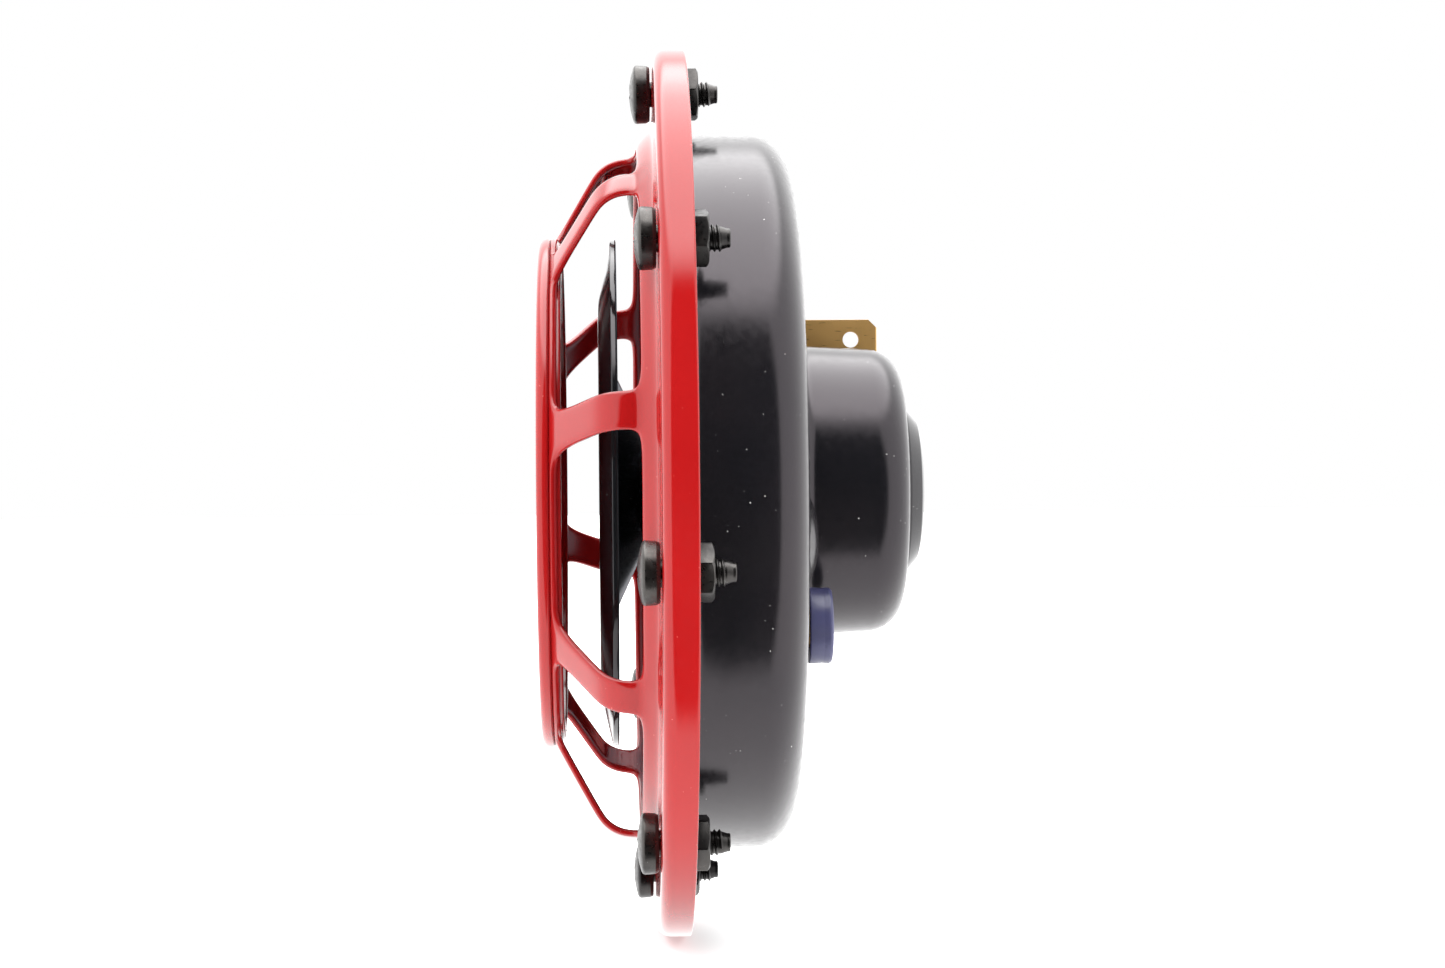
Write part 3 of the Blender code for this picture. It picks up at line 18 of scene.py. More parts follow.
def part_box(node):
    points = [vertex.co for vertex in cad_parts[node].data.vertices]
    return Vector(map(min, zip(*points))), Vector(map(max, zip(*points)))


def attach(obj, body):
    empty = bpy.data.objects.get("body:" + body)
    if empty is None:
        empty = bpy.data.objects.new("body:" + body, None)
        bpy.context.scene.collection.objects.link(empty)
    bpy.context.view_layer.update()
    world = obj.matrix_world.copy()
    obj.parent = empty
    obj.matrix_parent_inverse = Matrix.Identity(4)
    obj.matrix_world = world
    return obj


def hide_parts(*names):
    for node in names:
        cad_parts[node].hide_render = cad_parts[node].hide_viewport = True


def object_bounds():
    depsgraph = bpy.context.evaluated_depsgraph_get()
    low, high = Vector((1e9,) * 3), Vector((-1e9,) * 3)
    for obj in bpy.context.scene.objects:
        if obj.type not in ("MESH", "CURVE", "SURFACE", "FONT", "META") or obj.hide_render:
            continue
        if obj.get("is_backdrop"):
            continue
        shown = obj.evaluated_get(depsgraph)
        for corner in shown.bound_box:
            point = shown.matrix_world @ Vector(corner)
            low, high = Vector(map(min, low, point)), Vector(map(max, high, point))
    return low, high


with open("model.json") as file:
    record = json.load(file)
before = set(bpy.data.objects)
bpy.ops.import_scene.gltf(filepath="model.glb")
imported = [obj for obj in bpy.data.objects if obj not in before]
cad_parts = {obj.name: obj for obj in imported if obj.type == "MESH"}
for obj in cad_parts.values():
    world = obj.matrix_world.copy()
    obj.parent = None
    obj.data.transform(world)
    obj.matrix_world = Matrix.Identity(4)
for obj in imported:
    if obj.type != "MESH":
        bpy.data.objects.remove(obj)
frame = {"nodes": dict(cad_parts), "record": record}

MM = 0.001
TURN = math.tau
CLOSE = 1e-6
BOLT_COUNT = 8
CIRCLE = 360.0
HALF_TURN = 180.0
QUARTER = 90.0
ORIGIN = (0.0, 0.0, 0.0)
HORN_AXIS = (0.0, 1.0, 0.0)
WHITE = (1.0, 1.0, 1.0, 1.0)

# Broken edges, from a screw's to a pressed lip's, and how far a thread is sunk into its core
THIN_EDGE = 0.1 * MM
NUT_EDGE = 0.12 * MM
FINE_EDGE = 0.2 * MM
SOFT_EDGE = 0.3 * MM
FULL_EDGE = 0.4 * MM
THREAD_SINK = 0.15 * MM

# Steps round a screw or rivet, and round a disc
SMALL_ROUND = 32
LARGE_ROUND = 192

THREAD_CREST = 0.14  # half of a crest's width, in half pitches
NUT_SEAT = 0.97  # a nut's bearing face, in widths across flats
NUT_SLOPE = 2.2  # how far the dome of a nut's chamfer falls outside its corners
XYZ_TO_YZX = Matrix(((0.0, 0.0, 1.0), (1.0, 0.0, 0.0), (0.0, 1.0, 0.0)))

Point = tuple[float, float]
Corner = tuple[float, float, float]
Colour = tuple[float, float, float]

log = logging.getLogger("horn")


# ---------------------------------------------------------------------------------------------
# Shapes
# ---------------------------------------------------------------------------------------------

def rounded(corners: Sequence[Corner], steps: int = 4, closed: bool = False) -> list[Point]:
    """Round the corners of an outline with arcs.

    Args:
        corners: The (radius, y, fillet radius) of each corner; a fillet of 0 stays sharp.
        steps: Straight pieces in each arc.
        closed: Whether the last corner joins the first.

    Returns:
        The outline's points.
    """
    points: list[Point] = []
    count = len(corners)
    for index, (x, y, fillet) in enumerate(corners):
        at_end = not closed and index in (0, count - 1)
        if at_end or fillet <= 0.0:
            points.append((x, y))
            continue
        here = Vector((x, y))
        before = (Vector(corners[index - 1][:2]) - here).normalized()
        after = (Vector(corners[(index + 1) % count][:2]) - here).normalized()
        half = before.angle(after) / 2.0
        centre = here + (before + after).normalized() * (fillet / math.sin(half))
        start = here + before * (fillet / math.tan(half)) - centre
        end = here + after * (fillet / math.tan(half)) - centre
        sweep = start.angle_signed(end)
        for step in range(steps + 1):
            points.append(tuple(centre + Matrix.Rotation(-sweep * step / steps, 2) @ start))
    return points


def arc(centre: Sequence[float], reach: Point, start: float, end: float, steps: int) -> list[Point]:
    """Return the points of an arc, round or oval.

    Args:
        centre: Its centre.
        reach: Its half width along the radius and along y.
        start: The angle in degrees where it starts, from outward towards +Y.
        end: The angle where it ends.
        steps: Straight pieces in the arc.

    Returns:
        The points, both ends among them.
    """
    angles = [math.radians(start + (end - start) * step / steps) for step in range(steps + 1)]
    return [(centre[0] + reach[0] * math.cos(at), centre[1] + reach[1] * math.sin(at)) for at in angles]


def turned(outline: Sequence[Point], segments: int, closed: bool = False) -> bmesh.types.BMesh:
    """Turn an outline about the horn axis.

    Args:
        outline: The (radius, y) points.
        segments: Steps of the full turn.
        closed: Whether the last point joins the first.

    Returns:
        The turned mesh, its normals outward.
    """
    bm = bmesh.new()
    verts = [bm.verts.new((radius, y, 0.0)) for radius, y in outline]
    edges = [bm.edges.new(pair) for pair in zip(verts, verts[1:])]
    if closed:
        edges.append(bm.edges.new((verts[-1], verts[0])))
    bmesh.ops.spin(bm, geom=verts + edges, cent=ORIGIN, axis=HORN_AXIS, dvec=ORIGIN,
                   angle=TURN, steps=segments, use_merge=True, use_duplicate=False)
    return cleaned(bm)


def cleaned(bm: bmesh.types.BMesh) -> bmesh.types.BMesh:
    """Merge doubled vertices and turn the faces outwards.

    Args:
        bm: The mesh to clean.

    Returns:
        The same mesh.
    """
    bmesh.ops.remove_doubles(bm, verts=bm.verts, dist=CLOSE)
    bmesh.ops.recalc_face_normals(bm, faces=bm.faces)
    return bm


def moved(bm: bmesh.types.BMesh, place: Sequence[float]) -> bmesh.types.BMesh:
    """Shift a mesh.

    Args:
        bm: The mesh to shift.
        place: The (x, y, z) shift.

    Returns:
        The same mesh.
    """
    bmesh.ops.translate(bm, verts=bm.verts, vec=place)
    return bm


def middle(node: str) -> Vector:
    """Return the middle of a node's box."""
    low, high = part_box(node)
    return (low + high) / 2.0


def over(node: str, bm: bmesh.types.BMesh) -> bmesh.types.BMesh:
    """Shift a mesh turned about the horn axis sideways, on to a node's own axis.

    Args:
        node: The node.
        bm: The mesh to shift.

    Returns:
        The same mesh.
    """
    place = middle(node)
    return moved(bm, (place.x, 0.0, place.z))


def block(x: float, y: float, z: float) -> bmesh.types.BMesh:
    """Make a block of these half sizes about the origin."""
    bm = bmesh.new()
    bmesh.ops.create_cube(bm, size=2.0)
    bmesh.ops.scale(bm, verts=bm.verts, vec=(x, y, z))
    return bm


def swung(bm: bmesh.types.BMesh, matrix: Matrix) -> bmesh.types.BMesh:
    """Turn a mesh about the origin.

    Args:
        bm: The mesh to turn.
        matrix: The rotation.

    Returns:
        The same mesh.
    """
    bmesh.ops.rotate(bm, verts=bm.verts, cent=ORIGIN, matrix=matrix)
    return bm


def turned_by(bm: bmesh.types.BMesh, degrees: float) -> bmesh.types.BMesh:
    """Turn a mesh about the horn axis, from +X towards +Z.

    Args:
        bm: The mesh to turn.
        degrees: The clock angle.

    Returns:
        The same mesh.
    """
    return swung(bm, Matrix.Rotation(math.radians(-degrees), 3, "Y"))


def joined(parts: Iterable[bmesh.types.BMesh]) -> bmesh.types.BMesh:
    """Gather several meshes in one, as separate shells.

    Args:
        parts: The meshes, which are used up.

    Returns:
        The one mesh.
    """
    whole = bmesh.new()
    for part in parts:
        carrier = bpy.data.meshes.new("carrier")
        part.to_mesh(carrier)
        part.free()
        whole.from_mesh(carrier)
        bpy.data.meshes.remove(carrier)
    return whole


def prism(outline: Sequence[Point], depth: float) -> bmesh.types.BMesh:
    """Push an outline in the XY plane up along Z.

    Args:
        outline: The (x, y) corners.
        depth: The height of the prism, from z = 0.

    Returns:
        The closed prism.
    """
    bm = bmesh.new()
    face = bm.faces.new([bm.verts.new((x, y, 0.0)) for x, y in outline])
    pushed = bmesh.ops.extrude_face_region(bm, geom=[face])["geom"]
    lifted = [item for item in pushed if isinstance(item, bmesh.types.BMVert)]
    bmesh.ops.translate(bm, verts=lifted, vec=(0.0, 0.0, depth))
    return cleaned(bm)


def cut(bm: bmesh.types.BMesh, tool: bmesh.types.BMesh,
        operation: str = "DIFFERENCE") -> bmesh.types.BMesh:
    """Cut one mesh with another.

    Args:
        bm: The mesh to cut, which is used up.
        tool: The cutting mesh, which is used up.
        operation: The Boolean operation.

    Returns:
        The cut mesh.
    """
    objects = []
    for name, part in (("blank", bm), ("tool", tool)):
        mesh = bpy.data.meshes.new(name)
        part.to_mesh(mesh)
        part.free()
        blank = bpy.data.objects.new(name, mesh)
        bpy.context.scene.collection.objects.link(blank)
        objects.append(blank)
    modifier = objects[0].modifiers.new("cut", "BOOLEAN")
    modifier.object = objects[1]
    modifier.operation = operation
    evaluated = objects[0].evaluated_get(bpy.context.evaluated_depsgraph_get())
    result = bmesh.new()
    result.from_mesh(evaluated.to_mesh())
    evaluated.to_mesh_clear()
    for blank in objects:
        mesh = blank.data
        bpy.data.objects.remove(blank)
        bpy.data.meshes.remove(mesh)
    return result


def softened(bm: bmesh.types.BMesh, width: float, sharper_than: float) -> bmesh.types.BMesh:
    """Break the sharp edges of a mesh with a small bevel.

    Args:
        bm: The mesh.
        width: The bevel's width.
        sharper_than: The angle in degrees above which an edge is broken.

    Returns:
        The same mesh.
    """
    limit = math.radians(sharper_than)
    sharp = [edge for edge in bm.edges if edge.is_manifold and edge.calc_face_angle(0.0) > limit]
    bmesh.ops.bevel(bm, geom=sharp, offset=width, segments=2, profile=0.5, material=-1, affect="EDGES")
    return bm


def thread(radius: float, root: float, pitch: float, start: float, end: float,
           steps: int = 24) -> bmesh.types.BMesh:
    """Wind a screw thread about the horn axis.

    Args:
        radius: The crest's radius.
        root: The radius that the thread is sunk to.
        pitch: The rise of one turn.
        start: The lower end along the axis.
        end: The upper end.
        steps: Steps in one turn.

    Returns:
        The closed thread.
    """
    turns = (end - start - pitch) / pitch
    bm = bmesh.new()
    half = pitch / 2.0
    ridge = [(root, start), (radius, start + half * (1.0 - THREAD_CREST)),
             (radius, start + half * (1.0 + THREAD_CREST)), (root, start + pitch)]
    verts = [bm.verts.new((x, y, 0.0)) for x, y in ridge]
    edges = [bm.edges.new((verts[index - 1], verts[index])) for index in range(len(verts))]
    count = max(int(turns * steps), 1)
    bmesh.ops.spin(bm, geom=verts + edges, cent=ORIGIN, axis=HORN_AXIS,
                   dvec=(0.0, pitch / steps, 0.0), angle=TURN * count / steps, steps=count,
                   use_merge=False, use_duplicate=False)
    open_edges = [edge for edge in bm.edges if edge.is_boundary]
    bmesh.ops.holes_fill(bm, edges=open_edges, sides=0)
    return cleaned(bm)


def hexagon(across_flats: float, height: float, chamfer: float) -> bmesh.types.BMesh:
    """Make a hexagon nut blank with chamfered corners, standing on y = 0.

    Args:
        across_flats: The spanner size.
        height: The height along Y.
        chamfer: How far the chamfer runs down each corner.

    Returns:
        The blank.
    """
    corner = across_flats / 2.0 / math.cos(math.pi / 6.0)
    bm = bmesh.new()
    bmesh.ops.create_cone(bm, cap_ends=True, segments=6, radius1=corner, radius2=corner, depth=height)
    moved(swung(bm, Matrix.Rotation(math.radians(QUARTER), 3, "X")), (0.0, height / 2.0, 0.0))
    seat = across_flats / 2.0 * NUT_SEAT
    wide = corner + MM
    fall = chamfer * NUT_SLOPE
    dome = [(0.0, 0.0), (seat, 0.0), (wide, fall), (wide, height - fall), (seat, height), (0.0, height)]
    return cut(bm, turned(dome, 48), "INTERSECT")


# ---------------------------------------------------------------------------------------------
# Finishes
# ---------------------------------------------------------------------------------------------

class Grain(Enum):
    """How the surface of a finish is broken up."""

    PEEL = "orange peel of thick paint"
    PLATED = "fine mottle of plating on cold-headed steel"
    TURNED = "fine rings about the horn axis"
    ROLLED = "fine lines along the strip"
    FIBROUS = "matted fibres of pressed sheet"
    MOULDED = "soft waviness of moulded plastic"


class NodeBench:
    """A material under construction, with short calls to add its nodes."""

    def __init__(self, name: str) -> None:
        """Start a material with its shader and Object coordinates.

        Args:
            name: The material's name.
        """
        self.material = bpy.data.materials.new(name)
        self.material.use_nodes = True
        self.tree = self.material.node_tree
        self.shader = self.tree.nodes["Principled BSDF"]
        self.place = self.tree.nodes.new("ShaderNodeTexCoord").outputs["Object"]

    def node(self, kind: str, **values: object) -> bpy.types.Node:
        """Add a node.

        Args:
            kind: The node's type.
            **values: Input sockets by name, spaces as underscores, each a value or an output to link.

        Returns:
            The node.
        """
        made = self.tree.nodes.new(kind)
        for name, value in values.items():
            socket = made.inputs[name.replace("_", " ")]
            if isinstance(value, bpy.types.NodeSocket):
                self.tree.links.new(value, socket)
            else:
                socket.default_value = value
        return made

    def stretched(self, scale: Sequence[float]) -> bpy.types.NodeSocket:
        """Return the Object coordinates stretched along the axes."""
        return self.node("ShaderNodeMapping", Vector=self.place, Scale=scale).outputs["Vector"]

    def noise(self, scale: float, detail: float,
              place: Optional[bpy.types.NodeSocket] = None) -> bpy.types.NodeSocket:
        """Add a noise pattern.

        Args:
            scale: The pattern's repeats in a metre.
            detail: Its octaves.
            place: The coordinates, or the Object coordinates if none.

        Returns:
            The pattern's value.
        """
        made = self.node("ShaderNodeTexNoise", Vector=place or self.place, Scale=scale, Detail=detail)
        return made.outputs["Fac"]

    def spread(self, value: bpy.types.NodeSocket, low: float, high: float, start: float = 0.3,
               end: float = 0.7) -> bpy.types.NodeSocket:
        """Map a pattern to a range.

        Args:
            value: The pattern.
            low: The result at start.
            high: The result at end.
            start: The pattern's value that gives low.
            end: The pattern's value that gives high.

        Returns:
            The mapped value.
        """
        made = self.node("ShaderNodeMapRange", Value=value, From_Min=start, From_Max=end, To_Min=low,
                         To_Max=high)
        return made.outputs["Result"]

    def blended(self, share: bpy.types.NodeSocket, first: object, second: object) -> bpy.types.NodeSocket:
        """Mix two colours.

        Args:
            share: The share of the second.
            first: A colour or a socket.
            second: A colour or a socket.

        Returns:
            The mixed colour.
        """
        made = self.tree.nodes.new("ShaderNodeMix")
        made.data_type = "RGBA"
        self.tree.links.new(share, made.inputs["Factor"])
        sockets = [item for item in made.inputs if item.type == "RGBA"]
        for socket, value in zip(sockets, (first, second)):
            if isinstance(value, bpy.types.NodeSocket):
                self.tree.links.new(value, socket)
            else:
                socket.default_value = (*value, 1.0)
        return [item for item in made.outputs if item.type == "RGBA"][0]

    def bump(self, height: bpy.types.NodeSocket, distance: float,
             under: Optional[bpy.types.NodeSocket] = None) -> bpy.types.NodeSocket:
        """Add a bump.

        Args:
            height: The height pattern.
            distance: The relief in metres.
            under: A bump below this one.

        Returns:
            The bumped normal.
        """
        made = self.node("ShaderNodeBump", Height=height, Distance=distance, Strength=1.0)
        if under is not None:
            self.tree.links.new(under, made.inputs["Normal"])
        return made.outputs["Normal"]

    def join(self, value: bpy.types.NodeSocket, socket: str) -> None:
        """Link a value to the shader."""
        self.tree.links.new(value, self.shader.inputs[socket])

    def set(self, **values: object) -> None:
        """Set sockets of the shader by name, spaces as underscores."""
        for name, value in values.items():
            self.shader.inputs[name.replace("_", " ")].default_value = value


GRAIN_STRETCH = {
    Grain.TURNED: (1.0, 14.0, 1.0),
    Grain.ROLLED: (14.0, 1.0, 14.0),
    Grain.FIBROUS: (1.0, 3.0, 1.6),
}
CLOUD_SIZE = 14.0  # size of the broad patches of colour, in grains
CLOUD_RANGE = (0.35, 0.65)
PEEL_SIZE = 3.0  # size of the orange peel, in grains
DUST_REPEATS = 2600.0
DUST_START = 0.80
DUST_SHARPNESS = 0.015


@dataclass(frozen=True)
class Finish:
    """The finish of one material slot of the horn."""

    slot: str
    light: Colour
    dark: Colour
    grain: Grain
    roughness: tuple[float, float]
    metallic: float = 0.0
    coat: float = 0.0
    coat_roughness: float = 0.05
    grain_scale: float = 800.0
    relief: float = 0.01 * MM
    tint: Colour = (1.0, 1.0, 1.0)
    dust: float = 0.0
    dust_colour: Colour = (0.55, 0.55, 0.53)

    def grain_place(self, bench: NodeBench) -> bpy.types.NodeSocket:
        """Return the coordinates that the grain follows."""
        return bench.stretched(GRAIN_STRETCH.get(self.grain, (1.0, 1.0, 1.0)))

    def material(self) -> bpy.types.Material:
        """Build the node tree.

        Returns:
            The material.
        """
        bench = NodeBench(self.slot)
        fine = bench.noise(self.grain_scale, 3.0, self.grain_place(bench))
        broad = bench.noise(self.grain_scale / CLOUD_SIZE, 2.0)
        colour = bench.blended(bench.spread(broad, 0.0, 1.0, *CLOUD_RANGE), self.light, self.dark)
        rough = bench.spread(fine, *self.roughness)
        normal = bench.bump(fine, self.relief)
        if self.grain is Grain.PEEL:
            normal = bench.bump(bench.noise(self.grain_scale / PEEL_SIZE, 1.0), self.relief * 2.0, normal)
        if self.dust > 0.0:
            start = DUST_START - self.dust
            specks = bench.spread(bench.noise(DUST_REPEATS, 1.0), 0.0, 1.0, start, start + DUST_SHARPNESS)
            colour = bench.blended(specks, colour, self.dust_colour)
        bench.join(colour, "Base Color")
        bench.join(rough, "Roughness")
        bench.join(normal, "Normal")
        bench.set(Metallic=self.metallic, Coat_Weight=self.coat, Coat_Roughness=self.coat_roughness,
                  Specular_Tint=(*self.tint, 1.0))
        return bench.material


FINISHES = (
    Finish("grille_red", (0.290, 0.0062, 0.0066), (0.268, 0.0054, 0.0058), Grain.PEEL, (0.06, 0.11),
           grain_scale=700.0, relief=0.0022 * MM, dust=0.002, dust_colour=(0.6, 0.14, 0.12)),
    Finish("housing_black", (0.0095, 0.0085, 0.0100), (0.0060, 0.0060, 0.0075), Grain.PEEL, (0.15, 0.24),
           grain_scale=900.0, relief=0.0045 * MM, tint=(1.0, 0.90, 0.96), dust=0.002),
    Finish("gloss_black", (0.0070, 0.0075, 0.0085), (0.0045, 0.0050, 0.0060), Grain.PEEL, (0.07, 0.14),
           grain_scale=600.0, relief=0.003 * MM, tint=(1.0, 0.95, 0.98), dust=0.004),
    Finish("fastener_dark", (0.085, 0.080, 0.076), (0.030, 0.029, 0.030), Grain.PLATED, (0.24, 0.42),
           metallic=0.95, grain_scale=1500.0, relief=0.010 * MM, dust=0.004),
    Finish("plain_steel", (0.50, 0.50, 0.51), (0.38, 0.38, 0.40), Grain.TURNED, (0.24, 0.42), metallic=1.0,
           grain_scale=500.0, relief=0.004 * MM),
    Finish("spring_steel", (0.34, 0.35, 0.38), (0.24, 0.25, 0.29), Grain.ROLLED, (0.22, 0.36), metallic=1.0,
           grain_scale=400.0, relief=0.003 * MM),
    Finish("brass", (0.72, 0.43, 0.15), (0.56, 0.33, 0.11), Grain.ROLLED, (0.26, 0.42), metallic=0.65,
           grain_scale=420.0, relief=0.004 * MM),
    Finish("silver", (0.82, 0.82, 0.80), (0.66, 0.66, 0.65), Grain.PLATED, (0.2, 0.34), metallic=1.0,
           grain_scale=1800.0, relief=0.003 * MM),
    Finish("copper_wire", (0.46, 0.15, 0.04), (0.33, 0.09, 0.02), Grain.MOULDED, (0.18, 0.28), metallic=0.6,
           coat=0.6, grain_scale=300.0, relief=0.004 * MM),
    Finish("fibre", (0.23, 0.11, 0.05), (0.13, 0.055, 0.025), Grain.FIBROUS, (0.55, 0.78), grain_scale=1400.0,
           relief=0.02 * MM),
    Finish("gasket", (0.14, 0.14, 0.14), (0.09, 0.09, 0.095), Grain.FIBROUS, (0.7, 0.9), grain_scale=1200.0,
           relief=0.02 * MM),
    Finish("bobbin", (0.72, 0.68, 0.57), (0.62, 0.58, 0.47), Grain.MOULDED, (0.35, 0.5), grain_scale=350.0,
           relief=0.008 * MM),
    Finish("cap_violet", (0.052, 0.053, 0.125), (0.030, 0.031, 0.082), Grain.MOULDED, (0.30, 0.45),
           grain_scale=900.0, relief=0.02 * MM, dust=0.02),
)


class Workshop:
    """Keeps the finishes and puts finished pieces on the frame."""

    def __init__(self) -> None:
        """Build every material and read which body each node is in."""
        self.looks = {finish.slot: finish.material() for finish in FINISHES}
        bodies = frame["record"]["behaviour"]["bodies"]
        self.body_of = {node: body for body, nodes in bodies.items() for node in nodes}

    def place(self, node: str, bm: bmesh.types.BMesh, look: str, name: str = "", slot: str = "",
              crisp: float = 32.0) -> bpy.types.Object:
        """Put a finished mesh on the frame in place of a node.

        Args:
            node: The node that it stands for and rides with.
            bm: Its mesh, which is used up.
            look: The finish.
            name: The piece's name, if it isn't the node's with "_fine".
            slot: The record's slot, if it isn't the finish's own; it is not used.
            crisp: The angle in degrees above which an edge is shaded sharp.

        Returns:
            The piece.
        """
        name = name or f"{node}_fine"
        mesh = bpy.data.meshes.new(name)
        bm.to_mesh(mesh)
        bm.free()
        mesh.shade_smooth()
        mesh.set_sharp_from_angle(angle=math.radians(crisp))
        mesh.materials.append(self.looks[look])
        piece = bpy.data.objects.new(name, mesh)
        bpy.context.scene.collection.objects.link(piece)
        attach(piece, self.body_of[node])
        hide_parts(node)
        log.info("%s: %d faces, stands for %s", name, len(mesh.polygons), node)
        return piece

    def dress(self, node: str, look: str) -> None:
        """Give a node that keeps its shape its finish.

        Args:
            node: The node.
            look: The finish.
        """
        carried = frame["nodes"][node]
        carried.data.materials.clear()
        carried.data.materials.append(self.looks[look])
        log.info("%s: keeps its shape, finished as %s", node, look)


# ---------------------------------------------------------------------------------------------
# Sub-assemblies
# ---------------------------------------------------------------------------------------------

@dataclass
class FrontGrille:
    """The red pressed grille: skirt, flange, windowed wall and front disc.

    The rows of the skirt and the flange are insets from the rim's rear edge and from its outside. The
    shoulder's are (outward, forward) of the wall, and the slope's are shares of the windows' length.
    """

    shop: Workshop
    sheet: float = 1.1 * MM
    edge_radius: float = 1.8 * MM
    skirt_depth: float = 4.9 * MM
    skirt_rows: tuple[float, ...] = (0.0, 0.5 * MM, 1.8 * MM)
    flange_rows: tuple[float, ...] = (3.96 * MM, 7.0 * MM)
    shoulder_rows: tuple[Point, ...] = ((4.2 * MM, 0.0), (2.8 * MM, 0.1 * MM), (1.5 * MM, 1.2 * MM))
    slope_rows: tuple[float, ...] = (0.30, 0.62, 1.0)
    lap_under_disc: float = 1.08
    arc_steps: int = 4
    wall_radius: float = 52.2 * MM
    wall_height: float = 3.6 * MM
    bend_radius: float = 6.0 * MM
    window_rear: float = 2.6 * MM
    window_front: float = 2.1 * MM
    window_corner: float = 0.21
    rib_width: float = 5.4 * MM
    rib_clock: float = 12.4
    ribs: int = 8
    columns: int = 15
    rib_columns: int = 3
    edge_crease: float = 0.22
    smooth_levels: int = 2
    disc_radius: float = 38.4 * MM
    disc_thickness: float = 1.8 * MM
    disc_overhang: float = 0.4 * MM
    disc_edge: float = 1.25 * MM
    lip_depth: float = 3.5 * MM
    lip_width: float = 1.5 * MM
    panel_share: float = 0.6
    panel_depth: float = 0.5 * MM
    panel_slope: float = 1.4 * MM
    panel_fillet: float = 0.8 * MM

    def __post_init__(self) -> None:
        """Read the grille's place from the frame."""
        low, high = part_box("front_grille")
        self.front = low.y
        self.skirt_rear = high.y
        self.rim_radius = high.x
        self.flange = self.skirt_rear - self.skirt_depth

    def dome(self) -> tuple[Vector, float, Vector]:
        """Work out the bend between wall and dome.

        Returns:
            The bend's centre, the angle where it ends, and the end of the slope at the disc.
        """
        centre = Vector((self.wall_radius - self.bend_radius, self.flange - self.wall_height))
        end = Vector((self.disc_radius - self.disc_overhang, self.front + self.disc_thickness))
        reach = end - centre
        slope = math.atan2(reach.y, reach.x) + math.acos(self.bend_radius / reach.length)
        return centre, slope, end

    def profile(self) -> list[Point]:
        """Return the outer face from the skirt's rear edge to under the disc, one point for each row."""
        edge, rim, flange = self.edge_radius, self.rim_radius, self.flange
        points = [(rim, self.skirt_rear - fall) for fall in self.skirt_rows]
        points += arc((rim - edge, flange + edge), (edge, -edge), 0.0, QUARTER, self.arc_steps)
        points += [(rim - inset, flange) for inset in self.flange_rows]
        points += [(self.wall_radius + out, flange - forward) for out, forward in self.shoulder_rows]
        points += [(self.wall_radius, flange - self.window_rear)]
        centre, slope, end = self.dome()
        points += arc(centre, (self.bend_radius, self.bend_radius), 0.0, math.degrees(slope), self.arc_steps)
        start = Vector(points[-1])
        window_end = (self.front + self.window_front - start.y) / (end.y - start.y)
        shares = [window_end * share for share in self.slope_rows] + [1.0, self.lap_under_disc]
        return points + [tuple(start.lerp(end, share)) for share in shares]

    def window_rows(self, points: Sequence[Point]) -> tuple[int, int]:
        """Return the numbers of the rows where the windows start and end."""
        stations = (self.flange - self.window_rear, self.front + self.window_front)
        rear, front = (min(range(len(points)), key=lambda row: abs(points[row][1] - y)) for y in stations)
        return rear, front

    def column_clock(self, column: int, radius: float) -> float:
        """Return the clock angle of a column of the grid, with the ribs' sides kept parallel.

        Args:
            column: The column, counted from a rib's first side.
            radius: The row's radius.

        Returns:
            The angle in degrees from the rib's middle.
        """
        half = math.degrees(math.asin(self.rib_width / 2.0 / radius))
        if column <= self.rib_columns:
            return -half + 2.0 * half * column / self.rib_columns
        share = (column - self.rib_columns) / (self.columns - self.rib_columns)
        return half + (CIRCLE / self.ribs - 2.0 * half) * share

    def grid(self, bm: bmesh.types.BMesh,
             points: Sequence[Point]) -> dict[tuple[int, int], bmesh.types.BMVert]:
        """Number the vertices of the turned sheet.

        Args:
            bm: The turned sheet.
            points: Its outline.

        Returns:
            Each vertex by its (row, column).
        """
        total = self.ribs * self.columns
        numbered = {}
        for vert in bm.verts:
            here = Vector((math.hypot(vert.co.x, vert.co.z), vert.co.y))
            clock = math.degrees(math.atan2(vert.co.z, vert.co.x)) % CIRCLE
            row = min(range(len(points)), key=lambda at: (Vector(points[at]) - here).length_squared)
            numbered[(row, round(clock * total / CIRCLE) % total)] = vert
        return numbered

    def cage(self) -> bmesh.types.BMesh:
        """Make the pressed sheet with its windows, as one face thickness.

        Returns:
            The open sheet.
        """
        points = self.profile()
        total = self.ribs * self.columns
        bm = turned(points, total)
        rear, front = self.window_rows(points)
        grid = self.grid(bm, points)
        for (row, column), vert in grid.items():
            radius, y = points[row]
            sector, inside = divmod(column, self.columns)
            degrees = self.rib_clock + sector * CIRCLE / self.ribs + self.column_clock(inside, radius)
            clock = math.radians(degrees)
            vert.co = (radius * math.cos(clock), y, radius * math.sin(clock))
        openings = []
        for first in range(0, total, self.columns):
            for row in range(rear, front):
                for step in range(self.rib_columns, self.columns):
                    columns = (first + step, (first + step + 1) % total)
                    corners = {grid[(row + up, column)] for up in (0, 1) for column in columns}
                    faces = grid[(row, columns[0])].link_faces
                    openings += [face for face in faces if set(face.verts) == corners]
            sides = ((self.rib_columns, self.rib_columns + 1), (self.columns, self.columns - 1))
            for row, row_in in ((rear, rear + 1), (front, front - 1)):
                for step, step_in in sides:
                    corner = grid[(row, (first + step) % total)]
                    inner = grid[(row_in, (first + step_in) % total)]
                    corner.co = corner.co.lerp(inner.co, self.window_corner)
        bmesh.ops.delete(bm, geom=openings, context="FACES")
        return bm

